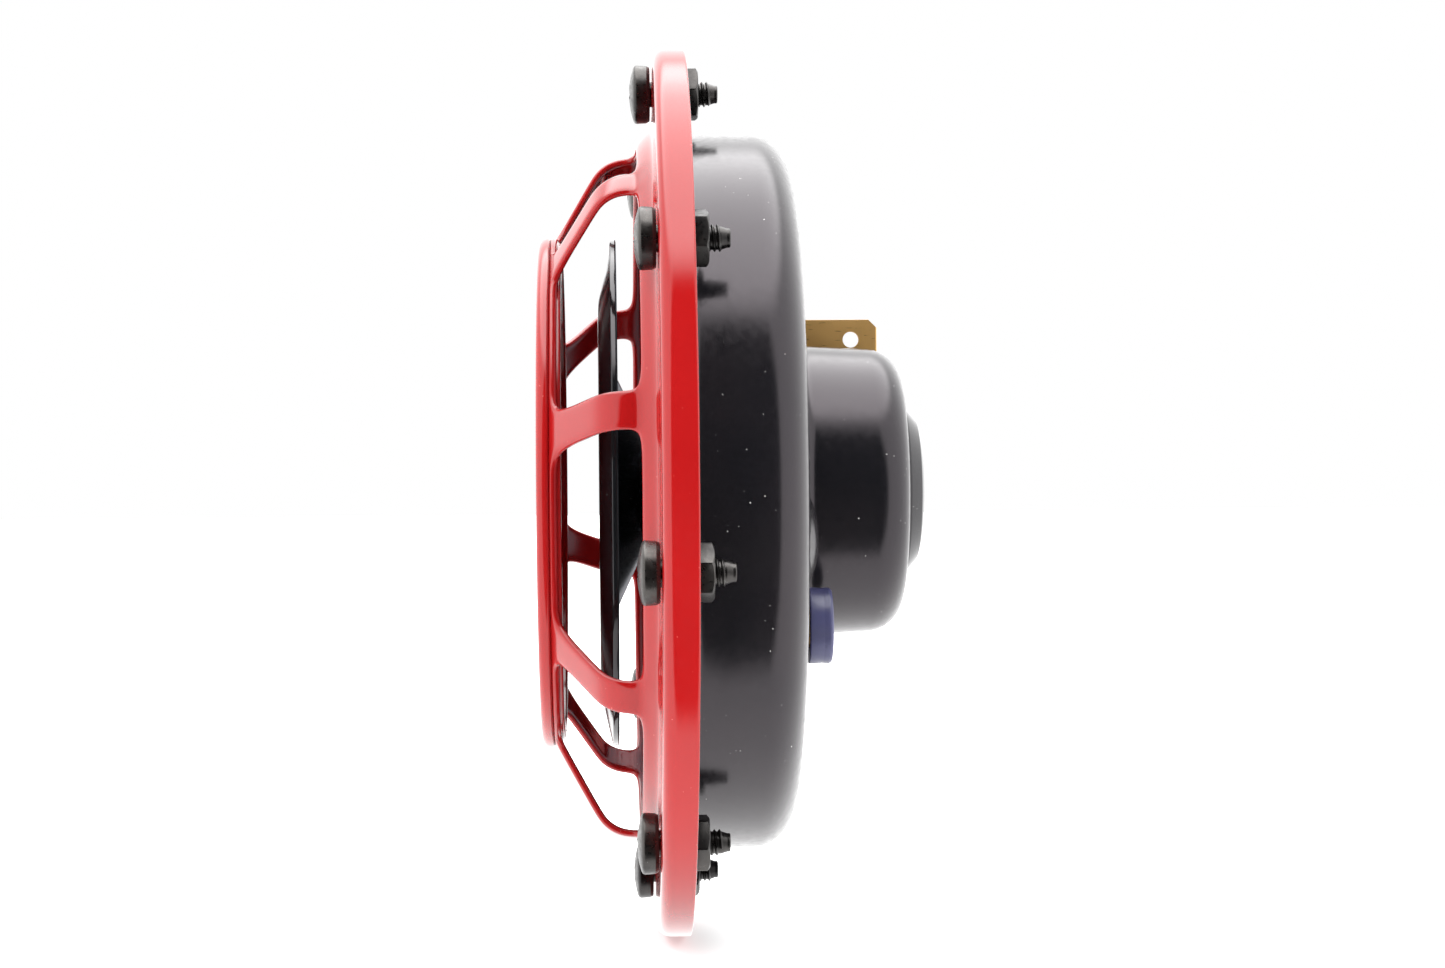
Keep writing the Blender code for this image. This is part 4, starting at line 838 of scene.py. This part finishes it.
    def build_cage(self) -> None:
        """Make the cage and give it its thickness and soft pressed edges."""
        piece = self.shop.place("front_grille", self.cage(), "grille_red", "grille_cage", crisp=HALF_TURN)
        wall = piece.modifiers.new("sheet", "SOLIDIFY")
        wall.thickness = self.sheet
        wall.offset = -1.0
        wall.use_even_offset = True
        wall.edge_crease_inner = wall.edge_crease_outer = self.edge_crease
        smooth = piece.modifiers.new("pressed", "SUBSURF")
        smooth.levels = smooth.render_levels = self.smooth_levels

    def build_disc(self) -> None:
        """Make the solid front disc with its overhanging edge and inner lip."""
        front = self.front
        rear = front + self.disc_thickness
        lip = self.disc_radius - self.sheet
        inner = lip - self.lip_width
        behind = front + self.lip_depth
        panel = self.disc_radius * self.panel_share
        sunk = front + self.panel_depth
        corners = [(0.0, rear, 0.0), (inner, rear, SOFT_EDGE), (inner, behind, FULL_EDGE),
                   (lip, behind, FULL_EDGE), (lip, rear, SOFT_EDGE), (self.disc_radius, rear, FULL_EDGE),
                   (self.disc_radius, front, self.disc_edge),
                   (panel + self.panel_slope, front, self.panel_fillet), (panel, sunk, self.panel_fillet),
                   (0.0, sunk, 0.0)]
        disc = turned(rounded(corners), LARGE_ROUND)
        self.shop.place("front_grille", disc, "grille_red", "grille_front_disc", crisp=50.0)

    def build(self) -> None:
        """Build the grille."""
        self.build_cage()
        self.build_disc()


@dataclass
class RimFasteners:
    """The eight screws and nuts that clamp grille, diaphragm and housing."""

    shop: Workshop
    clock: float = -10.1
    circle: float = 59.5 * MM
    twist: float = 37.0
    shank: float = 1.85 * MM
    thread_depth: float = 0.28 * MM
    pitch: float = 0.7 * MM
    head_radius: float = 4.3 * MM
    head_dome: float = 0.75 * MM
    dome_steps: int = 8
    head_height: float = 3.0 * MM
    head_fillet: float = 0.45 * MM
    neck_height: float = 0.5 * MM
    neck_inset: float = 0.35 * MM
    recess_width: float = 1.1 * MM
    recess_reach: float = 2.3 * MM
    recess_depth: float = 1.3 * MM
    recess_taper: tuple[float, float, float] = (0.45, 1.0, 0.7)
    taper: float = 1.3 * MM
    taper_share: float = 0.35
    tip_radius: float = 1.3 * MM
    thread_lap: float = 0.6 * MM
    thread_end: float = 0.35 * MM
    flats_per_shank: float = 3.78
    nut_chamfer: float = 0.42 * MM
    hole_chamfer: float = 0.35 * MM

    def __post_init__(self) -> None:
        """Read the stations from the frame."""
        screw_low, screw_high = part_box("rim_bolt_1")
        nut_low, nut_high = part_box("rim_nut_1")
        self.head_front = screw_low.y
        self.tip = screw_high.y
        self.seat = self.head_front + self.head_height
        self.nut_front = nut_low.y
        self.nut_height = nut_high.y - nut_low.y

    def recess(self) -> bmesh.types.BMesh:
        """Make the cross-shaped recess tool, tapered towards its floor."""
        bars = []
        for quarter in (0.0, QUARTER):
            bar = block(self.recess_reach, self.recess_depth, self.recess_width / 2.0)
            floor = [vert for vert in bar.verts if vert.co.y > 0.0]
            bmesh.ops.scale(bar, verts=floor, vec=self.recess_taper)
            bars.append(turned_by(bar, quarter))
        return moved(cut(*bars, "UNION"), (0.0, self.head_front + THIN_EDGE, 0.0))

    def screw(self) -> bmesh.types.BMesh:
        """Make one pan-head screw about the horn axis.

        Returns:
            The screw with its recess and threaded end.
        """
        front, head, seat, tip = self.head_front, self.head_radius, self.seat, self.tip
        root = self.shank - self.thread_depth
        dome = (head ** 2 + self.head_dome ** 2) / (2.0 * self.head_dome)
        half = math.degrees(math.asin((head - self.head_fillet) / dome))
        crown = arc((0.0, front + dome), (dome, dome), -QUARTER, half - QUARTER, self.dome_steps)
        corners = [(x, y, 0.0) for x, y in crown]
        corners += [(head, front + self.head_dome + THIN_EDGE, self.head_fillet),
                    (head - THIN_EDGE, seat - self.neck_height, THIN_EDGE),
                    (head - self.neck_inset, seat, THIN_EDGE),
                    (self.shank, seat, 0.0), (self.shank, self.nut_front, 0.0),
                    (root, self.nut_front + FINE_EDGE, 0.0), (root, tip - self.taper, SOFT_EDGE),
                    (self.tip_radius, tip - self.taper * self.taper_share, SOFT_EDGE),
                    (self.tip_radius, tip, FINE_EDGE), (0.0, tip, 0.0)]
        body = cut(turned(rounded(corners), SMALL_ROUND), self.recess())
        start = self.nut_front + self.nut_height - self.thread_lap
        end = tip - self.taper + self.thread_end
        winding = thread(self.shank, root - THREAD_SINK, self.pitch, start, end)
        return joined([body, winding])

    def nut(self) -> bmesh.types.BMesh:
        """Make one chamfered hexagon nut about the horn axis."""
        height, wide, chamfer = self.nut_height, self.shank + self.hole_chamfer, self.hole_chamfer
        blank = hexagon(self.flats_per_shank * self.shank, height, self.nut_chamfer)
        hole = [(wide, -MM), (wide, 0.0), (self.shank, chamfer), (self.shank, height - chamfer),
                (wide, height), (wide, height + MM), (0.0, height + MM), (0.0, -MM)]
        pierced = cut(blank, turned(hole, SMALL_ROUND, closed=True))
        return moved(softened(pierced, THIN_EDGE, sharper_than=35.0), (0.0, self.nut_front, 0.0))

    def build(self) -> None:
        """Build the screws and nuts round the rim."""
        for make, kind in ((self.screw, "rim_bolt"), (self.nut, "rim_nut")):
            pattern = make()
            for index in range(BOLT_COUNT):
                copy = moved(turned_by(pattern.copy(), index * self.twist), (self.circle, 0.0, 0.0))
                clock = self.clock + index * CIRCLE / BOLT_COUNT
                self.shop.place(f"{kind}_{index + 1}", turned_by(copy, clock), "fastener_dark")
            pattern.free()


@dataclass
class ToneDiscStack:
    """The tone disc and what clamps it to the spindle."""

    shop: Workshop
    edge_sheet: float = 1.0 * MM
    sheet: float = 1.2 * MM
    flat_radius: float = 30.5 * MM
    cone_radius: float = 20.7 * MM
    seat_radius: float = 8.3 * MM
    cone_rise: float = 5.75 * MM
    edge_fall: float = 1.6 * MM
    edge_fillet: float = 0.28 * MM
    flat_fillet: float = 6.0 * MM
    cone_fillet: float = 3.0 * MM
    seat_fillet: float = 2.0 * MM
    inner_share: float = 0.6
    hole: float = 2.8 * MM
    spindle: float = 2.5 * MM
    spindle_pitch: float = 0.8 * MM
    thread_length: float = 6.0 * MM
    point: float = 0.5 * MM
    runout: float = 0.4 * MM
    nut_chamfer: float = 0.5 * MM
    flats_per_spindle: float = 3.2
    diaphragm_sheet: float = 0.35 * MM
    wave: tuple[Corner, ...] = ((36.2 * MM, 0.0, 2.0 * MM), (38.6 * MM, 1.0, 1.6 * MM),
                                (41.4 * MM, 1.0, 1.6 * MM), (43.8 * MM, 0.0, 2.0 * MM))

    def build_disc(self) -> None:
        """Make the dished tone disc."""
        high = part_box("tone_disc")[1]
        seat = high.y
        flat = seat - self.cone_rise
        edge = flat + self.edge_fall
        sheet = self.sheet
        inner = self.inner_share * sheet
        outline = [(self.hole, seat, 0.0), (self.seat_radius, seat, self.seat_fillet),
                   (self.cone_radius, flat, self.cone_fillet), (self.flat_radius, flat, self.flat_fillet),
                   (high.x, edge, self.edge_fillet), (high.x, edge - self.edge_sheet, self.edge_fillet),
                   (self.flat_radius, flat - sheet, self.flat_fillet),
                   (self.cone_radius - inner, flat - sheet, self.cone_fillet),
                   (self.seat_radius - inner, seat - sheet, self.seat_fillet), (self.hole, seat - sheet, 0.0)]
        disc = turned(rounded(outline, closed=True), LARGE_ROUND, closed=True)
        self.shop.place("tone_disc", disc, "gloss_black", slot="housing_black")

    def build_spindle(self) -> None:
        """Make the spindle with its threaded front end."""
        low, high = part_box("spindle")
        root = self.spindle - SOFT_EDGE
        end = low.y + self.thread_length
        corners = [(0.0, low.y, 0.0), (root - FINE_EDGE, low.y, SOFT_EDGE), (root, low.y + self.point, 0.0),
                   (root, end, 0.0), (self.spindle, end + self.runout, 0.0),
                   (self.spindle, high.y, SOFT_EDGE), (0.0, high.y, 0.0)]
        winding = thread(self.spindle, root - THREAD_SINK, self.spindle_pitch, low.y + SOFT_EDGE,
                         end + self.runout)
        self.shop.place("spindle", joined([turned(rounded(corners), SMALL_ROUND), winding]), "plain_steel")

    def build_rings(self) -> None:
        """Make the spacer, the washer and the nut."""
        for node, edge in (("tone_disc_spacer", FULL_EDGE), ("spindle_washer", FINE_EDGE)):
            low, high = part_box(node)
            corners = [(self.hole, low.y, edge), (high.x, low.y, edge), (high.x, high.y, edge),
                       (self.hole, high.y, edge)]
            ring = turned(rounded(corners, closed=True), 2 * SMALL_ROUND, closed=True)
            self.shop.place(node, ring, "plain_steel")
        low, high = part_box("spindle_nut")
        height = high.y - low.y
        blank = hexagon(self.flats_per_spindle * self.spindle, height, self.nut_chamfer)
        bore = [(0.0, -MM), (self.spindle, -MM), (self.spindle, height + MM), (0.0, height + MM)]
        drill = turned(bore, SMALL_ROUND)
        nut = softened(cut(blank, drill), NUT_EDGE, sharper_than=35.0)
        self.shop.place("spindle_nut", moved(nut, (0.0, low.y, 0.0)), "plain_steel")

    def build_diaphragm(self) -> None:
        """Make the rolled diaphragm with its ring-shaped wave."""
        low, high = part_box("diaphragm")
        rear = low.y + self.diaphragm_sheet
        wave = [(x, rear + (high.y - rear) * rise, fillet) for x, rise, fillet in self.wave]
        back = [(self.hole, rear, 0.0), *wave, (high.x, rear, 0.0)]
        face = [(x, y - self.diaphragm_sheet, fillet) for x, y, fillet in reversed(back)]
        self.shop.place("diaphragm", turned(rounded(back + face, closed=True), LARGE_ROUND, closed=True),
                        "spring_steel")

    def build(self) -> None:
        """Build the moving front stack and the diaphragm."""
        self.build_disc()
        self.build_spindle()
        self.build_rings()
        self.build_diaphragm()


@dataclass
class RearHousing:
    """The black pressed housing and its mounting boss."""

    shop: Workshop
    sheet: float = 1.0 * MM
    radius: float = 53.4 * MM
    corner_radius: float = 7.2 * MM
    corner_squash: float = 0.8
    corner_steps: int = 8
    face_fall: float = 1.0 * MM
    face_rows: int = 26
    bend_radius: float = 2.0 * MM
    bend_steps: int = 4
    cup_radius: float = 21.9 * MM
    cup_draft: float = 0.8 * MM
    cup_corner: float = 5.2 * MM
    cup_corner_steps: int = 7
    cup_depth: float = 15.9 * MM
    shell_segments: int = 224
    bulge_radius: float = 7.0 * MM
    bulge_height: float = 1.6 * MM
    bulge_flatness: float = 3.0
    bulge_foot: float = 1.6
    below_face: float = 4.0 * MM
    boss_base: float = 12.9 * MM
    boss_face: float = 9.0 * MM
    boss_crown: Corner = (1.6 * MM, 0.45 * MM, 0.9 * MM)
    boss_foot: Corner = (0.3 * MM, 0.5 * MM, 0.7 * MM)
    boss_segments: int = 128
    mount_hole: float = 3.4 * MM
    mount_thread: float = 0.5 * MM
    mount_pitch: float = 1.25 * MM
    mount_steps: int = 48

    def outline(self, inset: float) -> list[Point]:
        """Return the pressed profile from the flange's rim to the cup's middle, set in by a sheet.

        Args:
            inset: The distance inside the outer face.

        Returns:
            The outline.
        """
        low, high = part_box("housing_shell")
        flange = low.y + self.sheet
        cup_rear = high.y
        face = cup_rear - self.cup_depth
        draft = self.cup_radius - self.cup_draft
        tall = self.corner_radius * self.corner_squash
        corner = Vector((self.radius - self.corner_radius, face - self.face_fall - tall))
        reach = self.bend_radius + inset
        points = [(high.x, flange - inset), (self.radius + reach, flange - inset)]
        bend = (self.radius - inset + reach, flange - inset + reach)
        points += arc(bend, (reach, reach), HALF_TURN + QUARTER, HALF_TURN, self.bend_steps)[1:]
        points.append((self.radius - inset, (flange + corner.y) / 2.0))
        points += arc(corner, (self.corner_radius - inset, tall - inset), 0.0, QUARTER, self.corner_steps)
        cup_edge = self.cup_radius + self.bend_radius
        for step in range(1, self.face_rows):
            share = step / self.face_rows
            fall = self.face_fall * (1.0 - share)
            points.append((corner.x + (cup_edge - corner.x) * share, face - fall - inset))
        tail = [(cup_edge + MM, face - inset, 0.0), (self.cup_radius - inset, face - inset, self.bend_radius),
                (draft - inset, cup_rear - inset, self.cup_corner - inset), (0.0, cup_rear - inset, 0.0)]
        return points + rounded(tail, steps=self.cup_corner_steps)[1:]

    def build_shell(self) -> None:
        """Make the housing with the smooth bulge over the breaker post."""
        outline = self.outline(0.0) + list(reversed(self.outline(self.sheet)))
        bm = turned(outline, self.shell_segments)
        post = middle("breaker_rivet")
        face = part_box("housing_shell")[1].y - self.cup_depth - self.below_face
        for vert in bm.verts:
            away = math.hypot(vert.co.x - post.x, vert.co.z - post.z)
            if away < self.bulge_radius and vert.co.y > face:
                share = away / self.bulge_radius
                vert.co.y += self.bulge_height * (1.0 - share ** self.bulge_flatness) ** self.bulge_foot
        self.shop.place("housing_shell", bm, "housing_black", crisp=60.0)

    def build_boss(self) -> None:
        """Make the boss with its tapped mounting hole."""
        low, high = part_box("mount_boss")
        hole = self.mount_hole
        wide = hole + self.mount_thread
        crown, foot = self.boss_crown, self.boss_foot
        corners = [(wide + FINE_EDGE, high.y, 0.0), (self.boss_face, high.y, crown[2]),
                   (self.boss_face + crown[0], high.y - crown[1], crown[2]),
                   (self.boss_base - foot[0], low.y + foot[1], foot[2]), (self.boss_base, low.y, 0.0),
                   (wide, low.y, 0.0), (wide, high.y - FULL_EDGE, 0.0)]
        bm = turned(rounded(corners, closed=True), self.boss_segments, closed=True)
        winding = thread(wide, hole, self.mount_pitch, low.y - FINE_EDGE, high.y - SOFT_EDGE,
                         self.mount_steps)
        for vert in winding.verts:
            reach = math.hypot(vert.co.x, vert.co.z)
            inward = (hole + wide - reach) / reach
            vert.co.x *= inward
            vert.co.z *= inward
        self.shop.place("mount_boss", joined([bm, winding]), "gloss_black", slot="housing_black", crisp=40.0)

    def build(self) -> None:
        """Build the housing."""
        self.build_shell()
        self.build_boss()


@dataclass
class Terminals:
    """Both blade terminals with their rivets and the insulating plate."""

    shop: Workshop
    sheet: float = 0.8 * MM
    bend: float = 1.2 * MM
    inner_bend: float = 0.5 * MM
    foot_fillet: float = 0.15 * MM
    tip_fillet: float = 0.22 * MM
    hole: float = 1.25 * MM
    hole_from_tip: float = 4.1 * MM
    tip_chamfer: float = 1.3 * MM
    rivet_shank: float = 1.4 * MM
    rivet_head: float = 0.8 * MM
    rivet_crown: float = 0.78
    base_fillet: float = 0.35 * MM
    crown_fillet: float = 0.9 * MM

    def blade(self, node: str) -> bmesh.types.BMesh:
        """Make one L-shaped blade.

        Args:
            node: The blade's node.

        Returns:
            The blade.
        """
        low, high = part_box(node)
        width = high.z - low.z
        inner = high.x - self.sheet
        top = low.y + self.sheet
        corners = [(low.x, low.y, self.foot_fillet), (high.x, low.y, self.bend),
                   (high.x, high.y, self.tip_fillet), (inner, high.y, self.tip_fillet),
                   (inner, top, self.inner_bend), (low.x, top, self.foot_fillet)]
        bm = moved(prism(rounded(corners, closed=True), width), (0.0, 0.0, low.z))
        softened(bm, NUT_EDGE, sharper_than=60.0)
        chamfer = self.tip_chamfer
        for side, edge_z in ((1.0, high.z), (-1.0, low.z)):
            form = prism([(high.y + MM, edge_z - side * (chamfer + MM)), (high.y + MM, edge_z + side * MM),
                          (high.y - chamfer - MM, edge_z + side * MM)], width)
            swung(form, XYZ_TO_YZX)
            bm = cut(bm, moved(form, (high.x - width / 2.0, 0.0, 0.0)))
        drill = bmesh.new()
        bmesh.ops.create_cone(drill, cap_ends=True, segments=SMALL_ROUND, radius1=self.hole,
                              radius2=self.hole, depth=width)
        swung(drill, Matrix.Rotation(math.radians(QUARTER), 3, "Y"))
        return cut(bm, moved(drill, (high.x, high.y - self.hole_from_tip, (low.z + high.z) / 2.0)))

    def rivet(self, node: str) -> bmesh.types.BMesh:
        """Make one rivet with a domed outer head and a formed inner head.

        Args:
            node: The rivet's node.

        Returns:
            The rivet.
        """
        low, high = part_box(node)
        head, shank, deep = (high.x - low.x) / 2.0, self.rivet_shank, self.rivet_head
        corners = [(0.0, low.y, 0.0), (head, low.y, self.base_fillet), (head, low.y + deep, FINE_EDGE),
                   (shank, low.y + deep, 0.0), (shank, high.y - deep, 0.0),
                   (head, high.y - deep, self.foot_fillet),
                   (head * self.rivet_crown, high.y, self.crown_fillet), (0.0, high.y, 0.0)]
        return over(node, turned(rounded(corners), SMALL_ROUND))

    def build(self) -> None:
        """Build both terminals."""
        for index in (1, 2):
            self.shop.place(f"terminal_blade_{index}", self.blade(f"terminal_blade_{index}"), "brass")
            self.shop.place(f"terminal_rivet_{index}", self.rivet(f"terminal_rivet_{index}"), "brass")
        for node in ("terminal_insulator", "terminal_washer_1", "terminal_washer_2"):
            self.shop.dress(node, "fibre")


@dataclass
class Adjuster:
    """The adjusting screw, its tip and the plastic cap over it."""

    shop: Workshop
    screw_radius: float = 1.9 * MM
    thread_depth: float = 0.3 * MM
    pitch: float = 0.7 * MM
    slot_width: float = 0.8 * MM
    slot_depth: float = 0.8 * MM
    point: float = 0.5 * MM
    cap_top: float = 1.6 * MM
    cap_wall: float = 1.0 * MM
    cap_fillet: float = 0.55 * MM
    cap_waist: Corner = (0.12 * MM, 1.3 * MM, 0.3 * MM)
    cap_mouth: float = 0.25 * MM
    cap_segments: int = 96

    def build_cap(self) -> None:
        """Make the cap."""
        low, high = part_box("adjuster_cap")
        radius = (high.x - low.x) / 2.0
        inner = radius - self.cap_wall
        roof = high.y - self.cap_top
        inset, down, fillet = self.cap_waist
        corners = [(0.0, high.y, 0.0), (radius, high.y, self.cap_fillet),
                   (radius - inset, high.y - down, fillet), (radius, low.y, self.cap_mouth),
                   (inner, low.y, FINE_EDGE), (inner, roof, SOFT_EDGE), (0.0, roof, 0.0)]
        cap = turned(rounded(corners), self.cap_segments)
        self.shop.place("adjuster_cap", over("adjuster_cap", cap), "cap_violet")

    def build_screw(self) -> None:
        """Make the slotted screw."""
        low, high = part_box("adjusting_screw")
        root = self.screw_radius - self.thread_depth
        corners = [(0.0, low.y, 0.0), (root - FINE_EDGE, low.y, FINE_EDGE), (root, low.y + self.point, 0.0),
                   (root, high.y - FULL_EDGE, FINE_EDGE), (root - FINE_EDGE, high.y, 0.0), (0.0, high.y, 0.0)]
        body = turned(rounded(corners), SMALL_ROUND)
        winding = thread(self.screw_radius, root - THREAD_SINK, self.pitch, low.y + FINE_EDGE,
                         high.y - FINE_EDGE)
        tool = block(self.screw_radius * 2.0, self.slot_depth, self.slot_width / 2.0)
        moved(tool, (0.0, high.y, 0.0))
        screw = joined([cut(body, tool.copy()), cut(winding, tool)])
        self.shop.place("adjusting_screw", over("adjusting_screw", screw), "plain_steel")

    def build(self) -> None:
        """Build the adjuster."""
        self.build_cap()
        self.build_screw()
        self.shop.dress("adjuster_bush", "brass")
        self.shop.dress("adjuster_tip", "fibre")


@dataclass
class Coil:
    """The wound coil between the bobbin's flanges."""

    shop: Workshop
    turns: int = 17
    steps: int = 4
    segments: int = 96

    def build(self) -> None:
        """Make the winding with its outer layer of turns."""
        low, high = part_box("coil_winding")
        half = (high.y - low.y) / self.turns / 2.0
        bore = self.bore()
        outline = [(bore, low.y)]
        for turn in range(self.turns):
            centre = (high.x - half, low.y + half * (2 * turn + 1))
            outline += arc(centre, (half, half), -QUARTER, QUARTER, self.steps)
        outline.append((bore, high.y))
        self.shop.place("coil_winding", turned(outline, self.segments, closed=True), "copper_wire")

    def bore(self) -> float:
        """Return the radius of the winding's bore, read from the node's own vertices."""
        mesh = frame["nodes"]["coil_winding"].data
        return min(math.hypot(vert.co.x, vert.co.z) for vert in mesh.vertices)


class InnerWorks:
    """The sealed inner pieces that keep their shape."""

    LOOKS = {
        "plain_steel": ("armature", "pole_core", "pole_plate", "breaker_rivet"),
        "spring_steel": ("contact_arm", "fixed_contact_plate"),
        "fibre": ("breaker_base_insulator", "breaker_spacer_insulator", "breaker_top_insulator",
                  "arm_pusher"),
        "silver": ("moving_contact", "fixed_contact"),
        "bobbin": ("coil_bobbin",),
        "gasket": ("front_gasket", "rear_gasket"),
        "copper_wire": ("supply_lead", "breaker_lead", "return_lead"),
    }

    def __init__(self, shop: Workshop) -> None:
        """Keep the workshop."""
        self.shop = shop

    def build(self) -> None:
        """Finish each node."""
        for look, nodes in self.LOOKS.items():
            for node in nodes:
                self.shop.dress(node, look)


# ---------------------------------------------------------------------------------------------
# Studio
# ---------------------------------------------------------------------------------------------

@dataclass
class Studio:
    """A pale floor in white surroundings with soft light all round, a dark camera side and the camera."""

    side_light: float = 1.85
    top_light: float = 5.2
    dark_light: float = 0.02
    dark_half_angle: float = 57.0
    dark_tilt: float = -1.0
    dark_narrowing: float = 1.9
    top_half_angle: float = 40.0
    top_lean: float = 8.5
    edge_softness: float = 0.08
    fill: float = 0.9
    fill_spread: float = 60.0
    fill_from: tuple[float, float, float] = (1.0, -0.15, 0.25)
    floor_light: Colour = (0.93, 0.93, 0.93)
    floor_dark: Colour = (0.90, 0.90, 0.90)
    floor_cloud: float = 3.0
    floor_roughness: float = 0.7
    floor_glow: float = 0.35
    floor_gap: float = 0.5 * MM
    floor_size: float = 6.0
    camera_place: tuple[float, float, float] = (0.4252, -0.0478, 0.0011)
    camera_yaw: float = -2.444
    camera_roll: float = -0.474
    lens: float = 70.07
    sensor: float = 36.0

    def build_world(self) -> None:
        """Make the surrounding light: white, but dark behind the camera."""
        world = bpy.data.worlds.new("studio")
        bpy.context.scene.world = world
        world.use_nodes = True
        tree = world.node_tree
        background = tree.nodes["Background"]
        background.inputs["Color"].default_value = WHITE
        direction = tree.nodes.new("ShaderNodeTexCoord").outputs["Generated"]
        narrowed = tree.nodes.new("ShaderNodeVectorMath")
        narrowed.operation = "MULTIPLY"
        narrowed.inputs[1].default_value = (1.0, self.dark_narrowing, 1.0)
        tree.links.new(direction, narrowed.inputs[0])
        unit = tree.nodes.new("ShaderNodeVectorMath")
        unit.operation = "NORMALIZE"
        tree.links.new(narrowed.outputs["Vector"], unit.inputs[0])
        tilt = math.radians(self.dark_tilt)
        lean = math.radians(self.top_lean)
        dark_centre = (math.cos(tilt), 0.0, math.sin(tilt))
        top_centre = (-math.sin(lean), 0.0, math.cos(lean))
        dark = self.zone(tree, unit.outputs["Vector"], dark_centre, self.dark_half_angle)
        top = self.zone(tree, direction, top_centre, self.top_half_angle)
        sides = self.mixed(tree, dark, self.side_light, self.dark_light)
        light = self.mixed(tree, top, sides, self.top_light)
        seen = tree.nodes.new("ShaderNodeLightPath").outputs["Is Camera Ray"]
        tree.links.new(self.mixed(tree, seen, light, 1.0), background.inputs["Strength"])

    def zone(self, tree: bpy.types.NodeTree, direction: bpy.types.NodeSocket, centre: Sequence[float],
             half_angle: float) -> bpy.types.NodeSocket:
        """Make a soft-edged round zone of the surroundings.

        Args:
            tree: The world's nodes.
            direction: The direction looked in.
            centre: The zone's middle.
            half_angle: The angle in degrees from its middle to its edge.

        Returns:
            1 inside the zone and 0 outside it.
        """
        towards = tree.nodes.new("ShaderNodeVectorMath")
        towards.operation = "DOT_PRODUCT"
        towards.inputs[1].default_value = centre
        tree.links.new(direction, towards.inputs[0])
        zone = tree.nodes.new("ShaderNodeMapRange")
        zone.interpolation_type = "SMOOTHSTEP"
        limit = math.cos(math.radians(half_angle))
        zone.inputs["From Min"].default_value = limit - self.edge_softness
        zone.inputs["From Max"].default_value = limit + self.edge_softness
        tree.links.new(towards.outputs["Value"], zone.inputs["Value"])
        return zone.outputs["Result"]

    def mixed(self, tree: bpy.types.NodeTree, share: bpy.types.NodeSocket, first: object,
              second: object) -> bpy.types.NodeSocket:
        """Mix two strengths.

        Args:
            tree: The world's nodes.
            share: The share of the second.
            first: A number or a socket.
            second: A number or a socket.

        Returns:
            The mixed strength.
        """
        mix = tree.nodes.new("ShaderNodeMix")
        mix.data_type = "FLOAT"
        tree.links.new(share, mix.inputs["Factor"])
        for name, value in (("A", first), ("B", second)):
            if isinstance(value, bpy.types.NodeSocket):
                tree.links.new(value, mix.inputs[name])
            else:
                mix.inputs[name].default_value = value
        return mix.outputs["Result"]

    def build_fill(self) -> None:
        """Add a soft light from the camera side that gives no reflection."""
        lamp = bpy.data.lights.new("fill", "SUN")
        lamp.energy = self.fill
        lamp.angle = math.radians(self.fill_spread)
        light = bpy.data.objects.new("fill", lamp)
        bpy.context.scene.collection.objects.link(light)
        light.rotation_euler = Vector(self.fill_from).to_track_quat("Z", "Y").to_euler()
        light.visible_glossy = False

    def build_floor(self) -> None:
        """Make the pale floor just under the rim."""
        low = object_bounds()[0]
        bm = bmesh.new()
        bmesh.ops.create_grid(bm, x_segments=1, y_segments=1, size=self.floor_size)
        moved(bm, (0.0, 0.0, low.z - self.floor_gap))
        mesh = bpy.data.meshes.new("floor")
        bm.to_mesh(mesh)
        bm.free()
        bench = NodeBench("floor_white")
        tint = bench.spread(bench.noise(self.floor_cloud, 2.0), 0.0, 1.0)
        bench.join(bench.blended(tint, self.floor_light, self.floor_dark), "Base Color")
        bench.set(Roughness=self.floor_roughness, Emission_Color=WHITE, Emission_Strength=self.floor_glow)
        mesh.materials.append(bench.material)
        floor = bpy.data.objects.new("floor", mesh)
        bpy.context.scene.collection.objects.link(floor)
        floor.visible_glossy = False
        floor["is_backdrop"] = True

    def build_camera(self) -> None:
        """Set the camera square to the horn's side."""
        yaw = math.radians(self.camera_yaw)
        roll = math.radians(self.camera_roll)
        back = Vector((math.cos(yaw), math.sin(yaw), 0.0))
        upright = Vector((0.0, 0.0, 1.0))
        level = upright.cross(back)
        right = level * math.cos(roll) + upright * math.sin(roll)
        up = upright * math.cos(roll) - level * math.sin(roll)
        data = bpy.data.cameras.new("camera")
        data.lens = self.lens
        data.sensor_width = self.sensor
        camera = bpy.data.objects.new("camera", data)
        bpy.context.scene.collection.objects.link(camera)
        axes = Matrix((right, up, back)).transposed().to_4x4()
        camera.matrix_world = Matrix.Translation(self.camera_place) @ axes
        bpy.context.scene.camera = camera

    def build(self) -> None:
        """Build the studio."""
        bpy.context.scene.view_settings.view_transform = "Standard"
        self.build_world()
        self.build_fill()
        self.build_floor()
        self.build_camera()


def main() -> None:
    """Build the horn and its studio."""
    logging.basicConfig(level=logging.INFO, format="%(name)s %(message)s")
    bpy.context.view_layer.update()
    shop = Workshop()
    for assembly in (FrontGrille, RimFasteners, ToneDiscStack, RearHousing, Terminals, Adjuster, Coil,
                     InnerWorks):
        assembly(shop).build()
    Studio().build()


if __name__ == "__main__":
    main()
